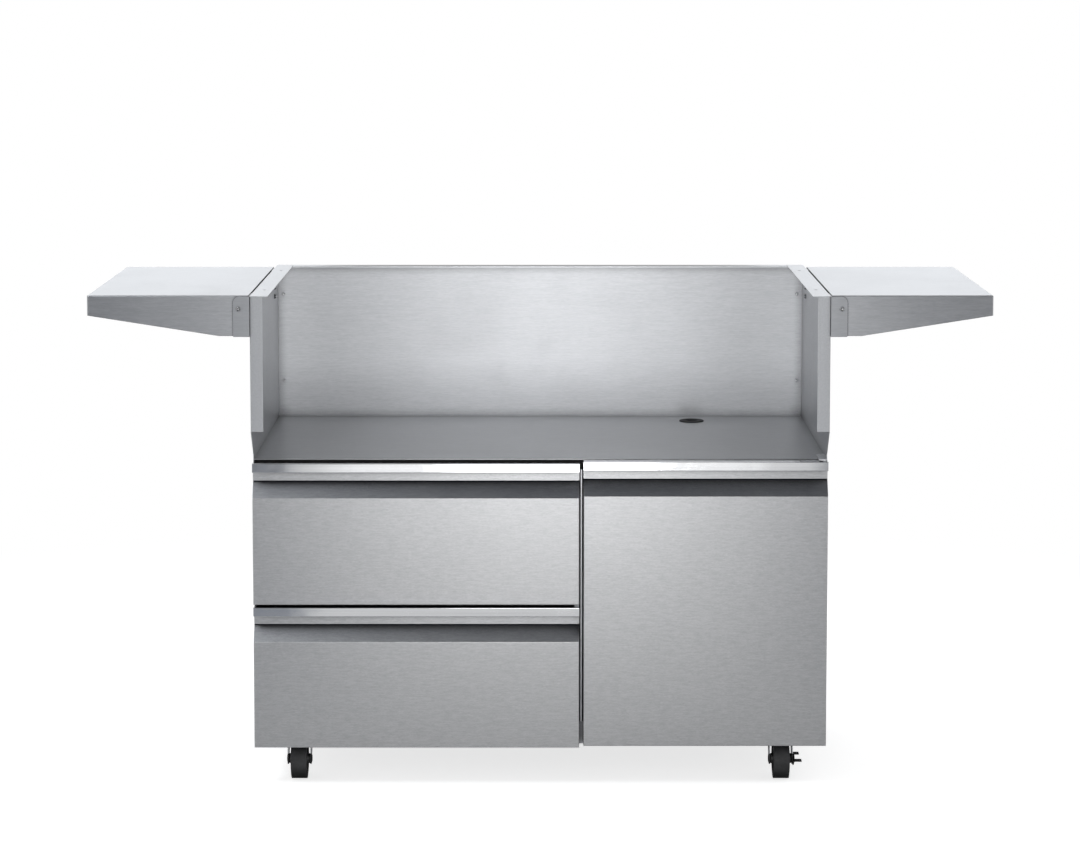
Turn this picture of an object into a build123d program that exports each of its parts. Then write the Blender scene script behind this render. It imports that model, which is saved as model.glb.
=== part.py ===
from build123d import *
import math
import os

# Sizes in millimetres. +X is the right of the front view, +Y is towards the back, +Z is up.
# Cabinet
CABINET_WIDTH = 1080.0
CABINET_DEPTH = 598.0
SHEET = 1.5
BEND_RADIUS = 1.2
REAR_FLANGE = 22.0
FOOT_FLANGE = 24.0
FRONT_HEM = 12.0
DIVIDER_EDGE = 2.4
TONGUE_WIDTH = 24.0
TONGUE_LIFT = 1.0
UPRIGHT_OFFSET = 12.5
TOP_RAIL = (3.0, 18.5)
DECK_RISE = 1.5
RAIL_HEIGHT = 18.0
RAIL_WIDTH = 90.0
RAIL_SHEET = 2.5

# Upper sides that stand in front of the drawers, with a seat folded in along their tops
WING_REACH = 20.0
WING_LIFT = 6.0
WING_FLANGE = 22.0
SEAT_WIDTH = 32.0
SEAT_RAIL = 3.0
SIDE_TOP_DROP = 2.0
SEAT_HOLE_RADIUS = 3.5
SEAT_HOLE_SPACING = 400.0

# Drawer and door fronts
DRAWER_FRONT_WIDTH = 613.5
DRAWER_FRONT_HEIGHT = 268.2
DRAWER_GAP = 5.5
DOOR_GAP = 8.0
DOOR_LIFT = 3.2
DOOR_OVER = 3.5
FRONT_DROP = 24.9
FRONT_STANDOFF = 3.0
SKIN = 1.2
LINER = 1.4
LINER_INSET = 0.5
FRONT_EDGE_RADIUS = 1.5

# Pull along the top of every front
PULL_ZONE = 65.6
SLOPE_RISE = 31.6
RECESS_DEPTH = 24.0
BAND_DEPTH = 17.0
BAND_SLIT = 4.4
NOSE_HEIGHT = 17.1
NOSE_THICKNESS = 4.0
NOSE_RADIUS = 1.2
PULL_LEG = 1.6

# Drawer boxes and runners
BOX_SHEET = 1.2
BOX_CORNER_RADIUS = 4.0
BOX_CLEARANCE = 6.5
BOX_TOP_DROP = 25.0
BOX_BACK_CLEARANCE = 70.0
RUNNER_WIDTH = 12.7
RUNNER_HEIGHT = 46.0
RUNNER_SHEET = 1.2
RUNNER_LIFT = 70.0
RUNNER_SETBACK = 16.0
RUNNER_TAIL = 10.0
FIXED_LIP = 9.0
MIDDLE_STANDOFF = 3.0
MIDDLE_LIP = 7.8
DRAWER_LIP = 7.7
BUMPER_RADIUS = 4.5
BUMPER_INSET = 5.0
BUMPER_LOW = 30.0
BUMPER_HIGH = 80.0

# Door hinge and catch
HINGE_INSET = 6.5
HINGE_DEPTH = 13.0
HINGE_PLATE = 3.0
HINGE_NEAR = 6.0
HINGE_SIDE = 10.0
HINGE_FOOT = 45.0
HINGE_ARM_LIFT = 5.0
HINGE_PIN_RADIUS = 2.5
HINGE_NOTCH = 13.0
PIVOT_BLOCK_HEIGHT = 18.0
PIVOT_BLOCK_SIDE = 6.0
MAGNET_SIZE = (40.0, 20.0, 12.0)
MAGNET_INSET = 12.0
STRIKE_MARGIN = 1.0

# Side shelves
SHELF_HEIGHT = 937.9
SHELF_REACH = 299.5
SHELF_DEPTH = 584.0
SHELF_OVERHANG = 24.0
SHELF_ROOT = 75.8
SHELF_TIP = 37.6
SHELF_ROOT_FLAT = 55.0
SHELF_EDGE_RADIUS = 2.5
SHELF_BOLT_LIFT = 18.5
SHELF_BOLT_SPACING = 18.5
END_PLATE = 2.0
END_PLATE_LIFT = 6.0
BRACKET_PLATE = 2.0
BRACKET_WIDTH = 30.5
BRACKET_DROP = 1.5
BRACKET_CORNER_RADIUS = 12.0
BRACKET_FLANGE = 60.0
BRACKET_SCREW_OUT = 20.5
BRACKET_SCREW_DOWN = 25.4

# Casters
WHEEL_DIAMETER = 76.0
WHEEL_CLEARANCE = 12.4
TYRE_WIDTH = 31.2
TYRE_SHOULDER = 2.5
CORE_RADIUS = 27.0
CORE_WIDTH = 26.0
RIM_THICKNESS = 4.0
WEB_WIDTH = 10.0
HUB_RADIUS = 9.5
HUB_LENGTH = 40.6
FORK_SHEET = 2.1
FORK_EYE_RADIUS = 10.0
FORK_NECK = 9.0
FORK_REAR = 20.0
FORK_BEND_RADIUS = 1.8
RACE_RADIUS = 22.0
RACE_HEIGHT = 7.6
KINGPIN_RADIUS = 6.0
KINGPIN_HEAD_RADIUS = 9.0
KINGPIN_HEAD = 4.0
CASTER_PLATE = (72.0, 62.0, 3.0)
CASTER_BOLT_SPACING = (50.0, 40.0)
CASTER_TRAIL = 25.0
CASTER_INSET_X = 80.0
CASTER_INSET_Y = 71.0
AXLE_RADIUS = 4.8
AXLE_HEAD_RADIUS = 8.0
AXLE_HEAD = 1.5
LEVER_SHEET = 2.0
LEVER_EYE_RADIUS = 9.5
LEVER_PAD_LENGTH = 16.0
LEVER_REACH = 24.0
FRONT_PAD_REACH = 16.0
FRONT_PAD_DROP = 0.5
REAR_PAD_REACH = 13.1
REAR_PAD_RISE = 5.6
LEVER_TAIL = 13.7

# Gas side
VENT_LENGTH = 70.0
VENT_HEIGHT = 7.0
VENT_PITCH = (95.0, 18.0)
VENT_COUNT = (3, 3)
VENT_MARGIN = 55.0
HOSE_HOLE_RADIUS = 20.0
HOSE_BORE_RADIUS = 12.5
GROMMET_FLANGE = 5.0
GROMMET_LIP = 2.2
HOSE_UP = 150.0
HOSE_OUT = 120.0
HOSE_FROM_BACK = 80.0
TANK_RING_RADIUS = 108.0
TANK_RING_HEIGHT = 22.0
TANK_RING_WALL = 2.5

# Fasteners and clearances
BOLT_RADIUS = 3.0
BOLT_HEAD_RADIUS = 5.0
BOLT_HEAD = 4.0
NUT_HEIGHT = 5.0
SCREW_RADIUS = 2.2
SCREW_HEAD_RADIUS = 4.2
SCREW_HEAD = 2.4
SCREW_TAIL = 6.0
BACK_SCREW_COUNT = 5
BACK_SCREW_MARGIN = 60.0
HOLE_CLEARANCE = 0.2
RUN_GAP = 0.3
PIVOT_CLEARANCE = 0.06
PANEL_GAP = 0.5
THROUGH = 1.0
SAME_PLACE = 0.001

# Heights, stacked up from the floor
AXLE_Z = WHEEL_DIAMETER / 2
CROWN_BOTTOM = WHEEL_DIAMETER + WHEEL_CLEARANCE
CROWN_TOP = CROWN_BOTTOM + FORK_SHEET
RACE_TOP = CROWN_TOP + RACE_HEIGHT
PLATE_BOTTOM = RACE_TOP + RUN_GAP
CARCASS_BOTTOM = PLATE_BOTTOM + CASTER_PLATE[2]
FLOOR_TOP = CARCASS_BOTTOM + RAIL_HEIGHT + SHEET
FRONT_BOTTOM = CARCASS_BOTTOM - FRONT_DROP
LOWER_Z = (FRONT_BOTTOM, FRONT_BOTTOM + DRAWER_FRONT_HEIGHT)
UPPER_Z = (LOWER_Z[1] + DRAWER_GAP, LOWER_Z[1] + DRAWER_GAP + DRAWER_FRONT_HEIGHT)
DOOR_Z = (FRONT_BOTTOM + DOOR_LIFT, UPPER_Z[1] + DOOR_OVER)
DECK_TOP = DOOR_Z[1] + DECK_RISE
DECK_UNDER = DECK_TOP - SHEET
TOP_RAIL_BOTTOM = DECK_UNDER - TOP_RAIL[1]
SIDE_TOP = SHELF_HEIGHT - SIDE_TOP_DROP
BOX_LIFT = FRONT_DROP + RAIL_HEIGHT + SHEET + BOX_CLEARANCE
BOX_HEIGHT = DRAWER_FRONT_HEIGHT - BOX_LIFT - BOX_TOP_DROP
RUNNER_STEP = RUNNER_SHEET + RUN_GAP
SLOPE_GRADE = SLOPE_RISE / (BAND_DEPTH + BAND_SLIT)

# Depths, with the whole object centred on Y = 0
FRONT_THICKNESS = RECESS_DEPTH + SKIN + LINER
FOREMOST = SHELF_OVERHANG + BRACKET_PLATE + SCREW_HEAD
REARMOST = FRONT_THICKNESS + FRONT_STANDOFF + CABINET_DEPTH + SCREW_HEAD
FACE_Y = (FOREMOST - REARMOST) / 2
BAND_Y = FACE_Y + BAND_DEPTH
WALL_FRONT = FACE_Y + RECESS_DEPTH
WALL_BACK = WALL_FRONT + SKIN
LINER_BACK = WALL_BACK + LINER
CARCASS_FRONT = LINER_BACK + FRONT_STANDOFF
CARCASS_REAR = CARCASS_FRONT + CABINET_DEPTH
BACK_FACE = CARCASS_REAR - SHEET
BACK_INSIDE = BACK_FACE - SHEET
WING_FRONT = FACE_Y - WING_REACH
WING_HEEL = DECK_TOP + HINGE_PLATE + WING_LIFT
WING_FOOT = WING_HEEL + CARCASS_FRONT - WING_FRONT
BOX_BACK = BACK_INSIDE - BOX_BACK_CLEARANCE
RUNNER_Y = (CARCASS_FRONT + RUNNER_SETBACK, BOX_BACK - RUNNER_TAIL)
TOP_RAIL_BACK = CARCASS_FRONT + TOP_RAIL[0]
SHELF_Y = (FACE_Y - SHELF_OVERHANG, FACE_Y - SHELF_OVERHANG + SHELF_DEPTH)
CASTER_Y = (CARCASS_FRONT + CASTER_INSET_Y, CARCASS_REAR - CASTER_INSET_Y)
SEAT_MIDDLE_Y = (WING_FRONT + BACK_INSIDE) / 2

# Widths
SIDE_OUT = CABINET_WIDTH / 2
SIDE_IN = SIDE_OUT - SHEET
DRAWER_X = (-SIDE_OUT, DRAWER_FRONT_WIDTH - SIDE_OUT)
DOOR_X = (DRAWER_X[1] + DOOR_GAP, SIDE_OUT)
DIVIDER_MIDDLE = DRAWER_X[1] + DOOR_GAP / 2
DIVIDER_X = (DIVIDER_MIDDLE - UPRIGHT_OFFSET, DIVIDER_MIDDLE + DIVIDER_EDGE / 2)
UPRIGHT_LIP_X = (DIVIDER_X[0], DRAWER_X[1] - PANEL_GAP)
BOX_X = (RUNNER_WIDTH - SIDE_IN, DIVIDER_X[0] - RUNNER_WIDTH)
BAY_MIDDLE = (DIVIDER_X[1] + SIDE_IN) / 2
SHELF_X = (SIDE_OUT + BRACKET_PLATE, SIDE_OUT + BRACKET_PLATE + SHELF_REACH)
CASTER_X = SIDE_OUT - CASTER_INSET_X
SEAT_HOLE_X = SIDE_IN - SEAT_WIDTH / 2
RAIL_X = SIDE_IN - FOOT_FLANGE - PANEL_GAP
PIN_X = SIDE_OUT - HINGE_INSET
PIN_Y = FACE_Y + HINGE_DEPTH
LEG_IN = HUB_LENGTH / 2 + RUN_GAP
LEG_OUT = LEG_IN + FORK_SHEET


# Box between three (low, high) spans
def block(x, y, z):
    spans = (x, y, z)
    middle = [(low + high) / 2 for low, high in spans]
    return Pos(*middle) * Box(*[high - low for low, high in spans])


# Round bars along each axis, placed by their centre line
def rod_x(radius, x, y, z):
    return Pos((x[0] + x[1]) / 2, y, z) * Rot(0, 90, 0) * Cylinder(radius, x[1] - x[0])


def rod_y(radius, x, y, z):
    return Pos(x, (y[0] + y[1]) / 2, z) * Rot(90, 0, 0) * Cylinder(radius, y[1] - y[0])


def rod_z(radius, x, y, z):
    return Pos(x, y, (z[0] + z[1]) / 2) * Cylinder(radius, z[1] - z[0])


# Straight prisms: an outline of (Y, Z) points along X, or of (X, Z) points along Y
def prism_x(outline, x):
    edge = Polyline([(x[0], y, z) for y, z in outline], close=True)
    return extrude(make_face(edge), amount=x[1] - x[0], dir=(1, 0, 0))


def prism_y(outline, y):
    edge = Polyline([(x, y[0], z) for x, z in outline], close=True)
    return extrude(make_face(edge), amount=y[1] - y[0], dir=(0, 1, 0))


# Rounds the edges that run along one axis and pass through the given points on the other two
def round_edges(solid, axis, spots, radius):
    across = {"X": ("Y", "Z"), "Y": ("X", "Z"), "Z": ("X", "Y")}[axis]
    chosen = []
    for edge in solid.edges().filter_by({"X": Axis.X, "Y": Axis.Y, "Z": Axis.Z}[axis]):
        place = [getattr(edge.center(), name) for name in across]
        if any(math.dist(place, spot) < SAME_PLACE for spot in spots):
            chosen.append(edge)
    return fillet(chosen, radius)


def mirrored(solid):
    return mirror(solid, about=Plane.YZ)


def spread(low, high, count):
    return [low + (high - low) * step / (count - 1) for step in range(count)]


# Places shared by holes and the fasteners in them
def back_screw_heights():
    return spread(CARCASS_BOTTOM + BACK_SCREW_MARGIN, SIDE_TOP - BACK_SCREW_MARGIN, BACK_SCREW_COUNT)


def shelf_bolt_places():
    low = SHELF_HEIGHT - SHELF_ROOT + SHELF_BOLT_LIFT
    high = low + SHELF_BOLT_SPACING
    depths = (SHELF_Y[0] + BRACKET_FLANGE / 2 + END_PLATE, SHELF_Y[1] - BRACKET_FLANGE / 2 - END_PLATE)
    return [(y, z) for y in depths for z in (low, high)]


def caster_places():
    return {
        "front_left": (-CASTER_X, CASTER_Y[0]),
        "front_right": (CASTER_X, CASTER_Y[0]),
        "rear_left": (-CASTER_X, CASTER_Y[1]),
        "rear_right": (CASTER_X, CASTER_Y[1]),
    }


def caster_bolt_places(caster_x, caster_y):
    half_x, half_y = CASTER_BOLT_SPACING[0] / 2, CASTER_BOLT_SPACING[1] / 2
    return [(caster_x + sx * half_x, caster_y + sy * half_y) for sx in (-1, 1) for sy in (-1, 1)]


def seat_hole_depths():
    return (SEAT_MIDDLE_Y - SEAT_HOLE_SPACING / 2, SEAT_MIDDLE_Y + SEAT_HOLE_SPACING / 2)


def bracket_screw_places():
    x = SIDE_OUT + BRACKET_SCREW_OUT
    z = SHELF_HEIGHT - BRACKET_SCREW_DOWN
    return [(x, y, z) for y in SHELF_Y]


# Right side panel: one sheet folded in at the top, front, back and foot
def side_panel():
    outline = [
        (CARCASS_FRONT, CARCASS_BOTTOM),
        (CARCASS_REAR, CARCASS_BOTTOM),
        (CARCASS_REAR, SIDE_TOP),
        (WING_FRONT, SIDE_TOP),
        (WING_FRONT, WING_FOOT),
        (CARCASS_FRONT, WING_HEEL),
    ]
    panel = prism_x(outline, (SIDE_IN, SIDE_OUT))
    panel += block((SIDE_IN - SEAT_WIDTH, SIDE_IN), (WING_FRONT, BACK_INSIDE), (SIDE_TOP - SHEET, SIDE_TOP))
    panel += block((SIDE_IN - WING_FLANGE, SIDE_IN), (WING_FRONT, WING_FRONT + SHEET), (WING_FOOT, SIDE_TOP))
    panel += block((SIDE_IN - REAR_FLANGE, SIDE_IN), (BACK_FACE, CARCASS_REAR), (CARCASS_BOTTOM, SIDE_TOP))
    panel += block(
        (SIDE_IN - FOOT_FLANGE, SIDE_IN),
        (CARCASS_FRONT + SHEET, BACK_INSIDE - SHEET),
        (CARCASS_BOTTOM, CARCASS_BOTTOM + SHEET),
    )
    panel += block(
        (SIDE_IN - SHEET, SIDE_IN),
        (CARCASS_FRONT, CARCASS_FRONT + FRONT_HEM),
        (FLOOR_TOP, TOP_RAIL_BOTTOM),
    )
    panel = round_edges(panel, "Z", [(SIDE_OUT, WING_FRONT), (SIDE_OUT, CARCASS_REAR)], BEND_RADIUS)
    for y in seat_hole_depths():
        hole = rod_z(SEAT_HOLE_RADIUS, SEAT_HOLE_X, y, (SIDE_TOP - SHEET - THROUGH, SIDE_TOP + THROUGH))
        panel -= hole
    for y, z in shelf_bolt_places():
        panel -= rod_x(BOLT_RADIUS + HOLE_CLEARANCE, (SIDE_IN - THROUGH, SIDE_OUT + THROUGH), y, z)
    for z in back_screw_heights():
        hole_y = (BACK_FACE - THROUGH, CARCASS_REAR + THROUGH)
        panel -= rod_y(SCREW_RADIUS + HOLE_CLEARANCE, SIDE_IN - REAR_FLANGE / 2, hole_y, z)
    return panel


# Back panel with vent slots behind the gas bay and a hose hole
def back_panel():
    panel = block((-SIDE_IN, SIDE_IN), (BACK_INSIDE, BACK_FACE), (CARCASS_BOTTOM, SIDE_TOP))
    hole_y = (BACK_INSIDE - THROUGH, BACK_FACE + THROUGH)
    slot = extrude(Plane.XZ * SlotOverall(VENT_LENGTH, VENT_HEIGHT), amount=SHEET + THROUGH, both=True)
    rows = [FLOOR_TOP + VENT_MARGIN + step * VENT_PITCH[1] for step in range(VENT_COUNT[1])]
    rows += [TOP_RAIL_BOTTOM - VENT_MARGIN - step * VENT_PITCH[1] for step in range(VENT_COUNT[1])]
    for column in range(VENT_COUNT[0]):
        x = BAY_MIDDLE + (column - (VENT_COUNT[0] - 1) / 2) * VENT_PITCH[0]
        for z in rows:
            panel -= Pos(x, (BACK_INSIDE + BACK_FACE) / 2, z) * slot
    panel -= rod_y(HOSE_HOLE_RADIUS, BAY_MIDDLE + HOSE_OUT, hole_y, FLOOR_TOP + HOSE_UP)
    for z in back_screw_heights():
        for side in (-1, 1):
            x = side * (SIDE_IN - REAR_FLANGE / 2)
            panel -= rod_y(SCREW_RADIUS + HOLE_CLEARANCE, x, hole_y, z)
    return panel


# Flat bar along the top of the back panel, level with the seats of the sides
def rear_seat_rail():
    end_x = SIDE_IN - SEAT_WIDTH - PANEL_GAP
    return block((-end_x, end_x), (BACK_INSIDE - SEAT_WIDTH, BACK_INSIDE), (SIDE_TOP - SEAT_RAIL, SIDE_TOP))


# Bottom panel with a flange at front and back and a tongue that closes the foot of the gap between the fronts
def bottom_panel():
    inside = (-SIDE_IN, SIDE_IN)
    front_y = (CARCASS_FRONT, CARCASS_FRONT + SHEET)
    panel = block(inside, (CARCASS_FRONT, BACK_INSIDE), (FLOOR_TOP - SHEET, FLOOR_TOP))
    panel += block(inside, front_y, (CARCASS_BOTTOM, FLOOR_TOP))
    panel += block(inside, (BACK_INSIDE - SHEET, BACK_INSIDE), (CARCASS_BOTTOM, FLOOR_TOP))
    tongue_x = (DIVIDER_MIDDLE - TONGUE_WIDTH / 2, DIVIDER_MIDDLE + TONGUE_WIDTH / 2)
    return panel + block(tongue_x, front_y, (FRONT_BOTTOM + TONGUE_LIFT, CARCASS_BOTTOM))


# Deck at the foot of the well
def well_deck():
    deck = block((-SIDE_IN, SIDE_IN), (CARCASS_FRONT, BACK_INSIDE), (DECK_UNDER, DECK_TOP))
    hole_z = (DECK_UNDER - THROUGH, DECK_TOP + THROUGH)
    return deck - rod_z(HOSE_HOLE_RADIUS, BAY_MIDDLE, BACK_INSIDE - HOSE_FROM_BACK, hole_z)


# Flat bar under the front edge of the deck
def front_top_rail():
    return block((-SIDE_IN, SIDE_IN), (CARCASS_FRONT, TOP_RAIL_BACK), (TOP_RAIL_BOTTOM, DECK_UNDER))


# Divider between drawers and gas bay: a hemmed sheet whose edge shows between the fronts, folded round at
# the back into an upright for the runners, both notched round the rail
def centre_divider():
    outline = [
        (CARCASS_FRONT, FLOOR_TOP),
        (BACK_INSIDE, FLOOR_TOP),
        (BACK_INSIDE, DECK_UNDER),
        (TOP_RAIL_BACK, DECK_UNDER),
        (TOP_RAIL_BACK, TOP_RAIL_BOTTOM),
        (CARCASS_FRONT, TOP_RAIL_BOTTOM),
    ]
    divider = prism_x(outline, (DIVIDER_X[1] - DIVIDER_EDGE, DIVIDER_X[1]))
    divider += prism_x(outline, (DIVIDER_X[0], DIVIDER_X[0] + SHEET))
    divider += block(DIVIDER_X, (BACK_INSIDE - SHEET, BACK_INSIDE), (FLOOR_TOP, DECK_UNDER))
    lip_y = (CARCASS_FRONT, CARCASS_FRONT + SHEET)
    return divider + block(UPRIGHT_LIP_X, lip_y, (FLOOR_TOP, TOP_RAIL_BOTTOM))


# Channel across the underside that a pair of casters bolts to
def caster_rail(middle_y):
    span_x = (-RAIL_X, RAIL_X)
    edges = (middle_y - RAIL_WIDTH / 2, middle_y + RAIL_WIDTH / 2)
    rail = block(span_x, edges, (CARCASS_BOTTOM, CARCASS_BOTTOM + RAIL_SHEET))
    upright = (CARCASS_BOTTOM, FLOOR_TOP - SHEET)
    rail += block(span_x, (edges[0], edges[0] + RAIL_SHEET), upright)
    rail += block(span_x, (edges[1] - RAIL_SHEET, edges[1]), upright)
    hole_z = (CARCASS_BOTTOM - THROUGH, CARCASS_BOTTOM + RAIL_SHEET + THROUGH)
    for side in (-1, 1):
        for x, y in caster_bolt_places(side * CASTER_X, middle_y):
            rail -= rod_z(BOLT_RADIUS + HOLE_CLEARANCE, x, y, hole_z)
    return rail


# Outer skin of a front: flat face, slope into the finger recess, wall behind it, folded over into a band
def front_skin(x, z):
    foot = z[1] - PULL_ZONE
    top = z[1] - PULL_LEG
    outline = [
        (FACE_Y, z[0]),
        (FACE_Y, foot),
        (WALL_FRONT, foot + RECESS_DEPTH * SLOPE_GRADE),
        (WALL_FRONT, top),
        (WALL_BACK, top),
        (WALL_BACK, z[0]),
    ]
    skin = prism_x(outline, x)
    face = skin.faces().filter_by(Axis.Y).sort_by(Axis.Y)[0]
    skin = fillet(face.edges(), FRONT_EDGE_RADIUS)
    under_slope = foot - SKIN * math.hypot(1, SLOPE_GRADE)
    past = WALL_BACK + THROUGH
    hollow = [
        (FACE_Y + SKIN, z[0] + SKIN),
        (FACE_Y + SKIN, under_slope + SKIN * SLOPE_GRADE),
        (past, under_slope + (past - FACE_Y) * SLOPE_GRADE),
        (past, z[0] + SKIN),
    ]
    skin -= prism_x(hollow, (x[0] + SKIN, x[1] - SKIN))
    skin += block(x, (BAND_Y, WALL_FRONT), (top - SKIN, top))
    return skin + block(x, (BAND_Y, BAND_Y + SKIN), (foot + SLOPE_RISE, top))


# Polished pull: a leg over the recess with a nose turned down at the front
def front_pull(x, z):
    nose_back = FACE_Y + NOSE_THICKNESS
    nose_foot = z[1] - NOSE_HEIGHT
    outline = [
        (FACE_Y, nose_foot),
        (FACE_Y, z[1]),
        (WALL_BACK, z[1]),
        (WALL_BACK, z[1] - PULL_LEG),
        (nose_back, z[1] - PULL_LEG),
        (nose_back, nose_foot),
    ]
    rounded = [(FACE_Y, nose_foot), (FACE_Y, z[1]), (nose_back, nose_foot)]
    return round_edges(prism_x(outline, x), "X", rounded, NOSE_RADIUS)


def front_liner(x, z):
    span_x = (x[0] + LINER_INSET, x[1] - LINER_INSET)
    return block(span_x, (WALL_BACK, LINER_BACK), (z[0] + LINER_INSET, z[1] - PULL_LEG))


# Open tub of a drawer
def drawer_box(front_z):
    low = front_z[0] + BOX_LIFT
    box = block(BOX_X, (LINER_BACK, BOX_BACK), (low, low + BOX_HEIGHT))
    box = fillet(box.edges().filter_by(Axis.Z), BOX_CORNER_RADIUS)
    inside = block(
        (BOX_X[0] + BOX_SHEET, BOX_X[1] - BOX_SHEET),
        (LINER_BACK + BOX_SHEET, BOX_BACK - BOX_SHEET),
        (low + BOX_SHEET, low + BOX_HEIGHT + THROUGH),
    )
    return box - fillet(inside.edges().filter_by(Axis.Z), BOX_CORNER_RADIUS - BOX_SHEET)


# One channel of a runner: its back stands at a distance from the wall and its lips point in or out
def runner_channel(wall_x, inward, web, lip_end, half_height, middle_z):
    web_x = sorted((wall_x + inward * web, wall_x + inward * (web + RUNNER_SHEET)))
    lip_x = sorted((wall_x + inward * web, wall_x + inward * lip_end))
    if lip_end < web:
        lip_x = sorted((wall_x + inward * (web + RUNNER_SHEET), wall_x + inward * lip_end))
    channel = block(web_x, RUNNER_Y, (middle_z - half_height, middle_z + half_height))
    channel += block(lip_x, RUNNER_Y, (middle_z + half_height - RUNNER_SHEET, middle_z + half_height))
    channel += block(lip_x, RUNNER_Y, (middle_z - half_height, middle_z - half_height + RUNNER_SHEET))
    return channel


# One member of both runners of a drawer
def runner_pair(front_z, web, lip_end, inset):
    middle_z = front_z[0] + BOX_LIFT + RUNNER_LIFT
    half_height = RUNNER_HEIGHT / 2 - inset
    walls = ((-SIDE_IN, 1), (DIVIDER_X[0], -1))
    return [runner_channel(wall_x, inward, web, lip_end, half_height, middle_z) for wall_x, inward in walls]


def fixed_runners(front_z):
    return runner_pair(front_z, 0, FIXED_LIP, 0)


def middle_runners(front_z):
    return runner_pair(front_z, MIDDLE_STANDOFF, MIDDLE_STANDOFF + MIDDLE_LIP, RUNNER_STEP)


def inner_runners(front_z):
    return runner_pair(front_z, RUNNER_WIDTH - RUNNER_SHEET, RUNNER_WIDTH - DRAWER_LIP, 2 * RUNNER_STEP)


def drawer_bumpers(front_z):
    columns = (DRAWER_X[0] + BUMPER_INSET, DRAWER_X[1] - BUMPER_INSET)
    rows = (front_z[0] + BUMPER_LOW, front_z[1] - BUMPER_HIGH)
    span_y = (LINER_BACK, CARCASS_FRONT - RUN_GAP)
    return [rod_y(BUMPER_RADIUS, x, span_y, z) for x in columns for z in rows]


# Hinge brackets: a plate on the deck with a pin down, and a cranked arm under the cabinet with a pin up
def door_hinge_brackets():
    span_x = (PIN_X - HINGE_SIDE, SIDE_IN)
    near = PIN_Y - HINGE_NEAR
    upper = block(span_x, (near, CARCASS_FRONT + HINGE_FOOT), (DECK_TOP, DECK_TOP + HINGE_PLATE))
    upper += rod_z(HINGE_PIN_RADIUS, PIN_X, PIN_Y, (DOOR_Z[1] - NOSE_HEIGHT, DECK_TOP + HINGE_PLATE))
    arm_low = DOOR_Z[0] + HINGE_ARM_LIFT
    arm_top = arm_low + HINGE_PLATE
    heel = (CARCASS_FRONT + SHEET, CARCASS_FRONT + SHEET + HINGE_PLATE)
    lower = block(span_x, (near, heel[1]), (arm_low, arm_top))
    lower += block(span_x, heel, (arm_low, CARCASS_BOTTOM))
    lower += block(span_x, (heel[0], heel[0] + HINGE_FOOT), (CARCASS_BOTTOM - HINGE_PLATE, CARCASS_BOTTOM))
    lower += rod_z(HINGE_PIN_RADIUS, PIN_X, PIN_Y, (arm_low, arm_top + PIVOT_BLOCK_HEIGHT))
    return [upper, lower]


# Blocks in the door that turn on the hinge pins
def door_pivot_blocks():
    low = DOOR_Z[0] + HINGE_ARM_LIFT + HINGE_PLATE + RUN_GAP
    inner_x = PIN_X - PIVOT_BLOCK_SIDE
    lower = block(
        (inner_x, DOOR_X[1] - SKIN),
        (FACE_Y + SKIN, WALL_BACK),
        (low, low + PIVOT_BLOCK_HEIGHT),
    )
    upper = block(
        (inner_x, DOOR_X[1] - LINER_INSET),
        (FACE_Y + NOSE_THICKNESS, BAND_Y),
        (DOOR_Z[1] - NOSE_HEIGHT, DOOR_Z[1] - PULL_LEG),
    )
    bore = rod_z(HINGE_PIN_RADIUS + PIVOT_CLEARANCE, PIN_X, PIN_Y, (low - THROUGH, DECK_TOP))
    return [lower - bore, upper - bore]


# Room in the door's lower corner for the hinge arm as the door swings
def hinge_notch():
    top = DOOR_Z[0] + HINGE_ARM_LIFT + HINGE_PLATE + RUN_GAP
    return block(
        (PIN_X - HINGE_NOTCH, DOOR_X[1] + THROUGH),
        (FACE_Y + FRONT_EDGE_RADIUS + RUN_GAP, LINER_BACK + THROUGH),
        (DOOR_Z[0] - THROUGH, top),
    )


def door_pull():
    hole_z = (DOOR_Z[1] - PULL_LEG - THROUGH, DOOR_Z[1] + THROUGH)
    return front_pull(DOOR_X, DOOR_Z) - rod_z(HINGE_PIN_RADIUS + RUN_GAP, PIN_X, PIN_Y, hole_z)


# Magnet under the deck behind the top rail, and the plate on the door that meets it
def door_magnet():
    low_x = DIVIDER_X[1] + MAGNET_INSET
    return block(
        (low_x, low_x + MAGNET_SIZE[0]),
        (TOP_RAIL_BACK, TOP_RAIL_BACK + MAGNET_SIZE[1]),
        (TOP_RAIL_BOTTOM - MAGNET_SIZE[2], DECK_UNDER),
    )


def door_strike_plate():
    low_x = DIVIDER_X[1] + MAGNET_INSET + STRIKE_MARGIN
    return block(
        (low_x, low_x + MAGNET_SIZE[0] - 2 * STRIKE_MARGIN),
        (LINER_BACK, TOP_RAIL_BACK - RUN_GAP),
        (TOP_RAIL_BOTTOM - MAGNET_SIZE[2] + STRIKE_MARGIN, TOP_RAIL_BOTTOM - STRIKE_MARGIN),
    )


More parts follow.
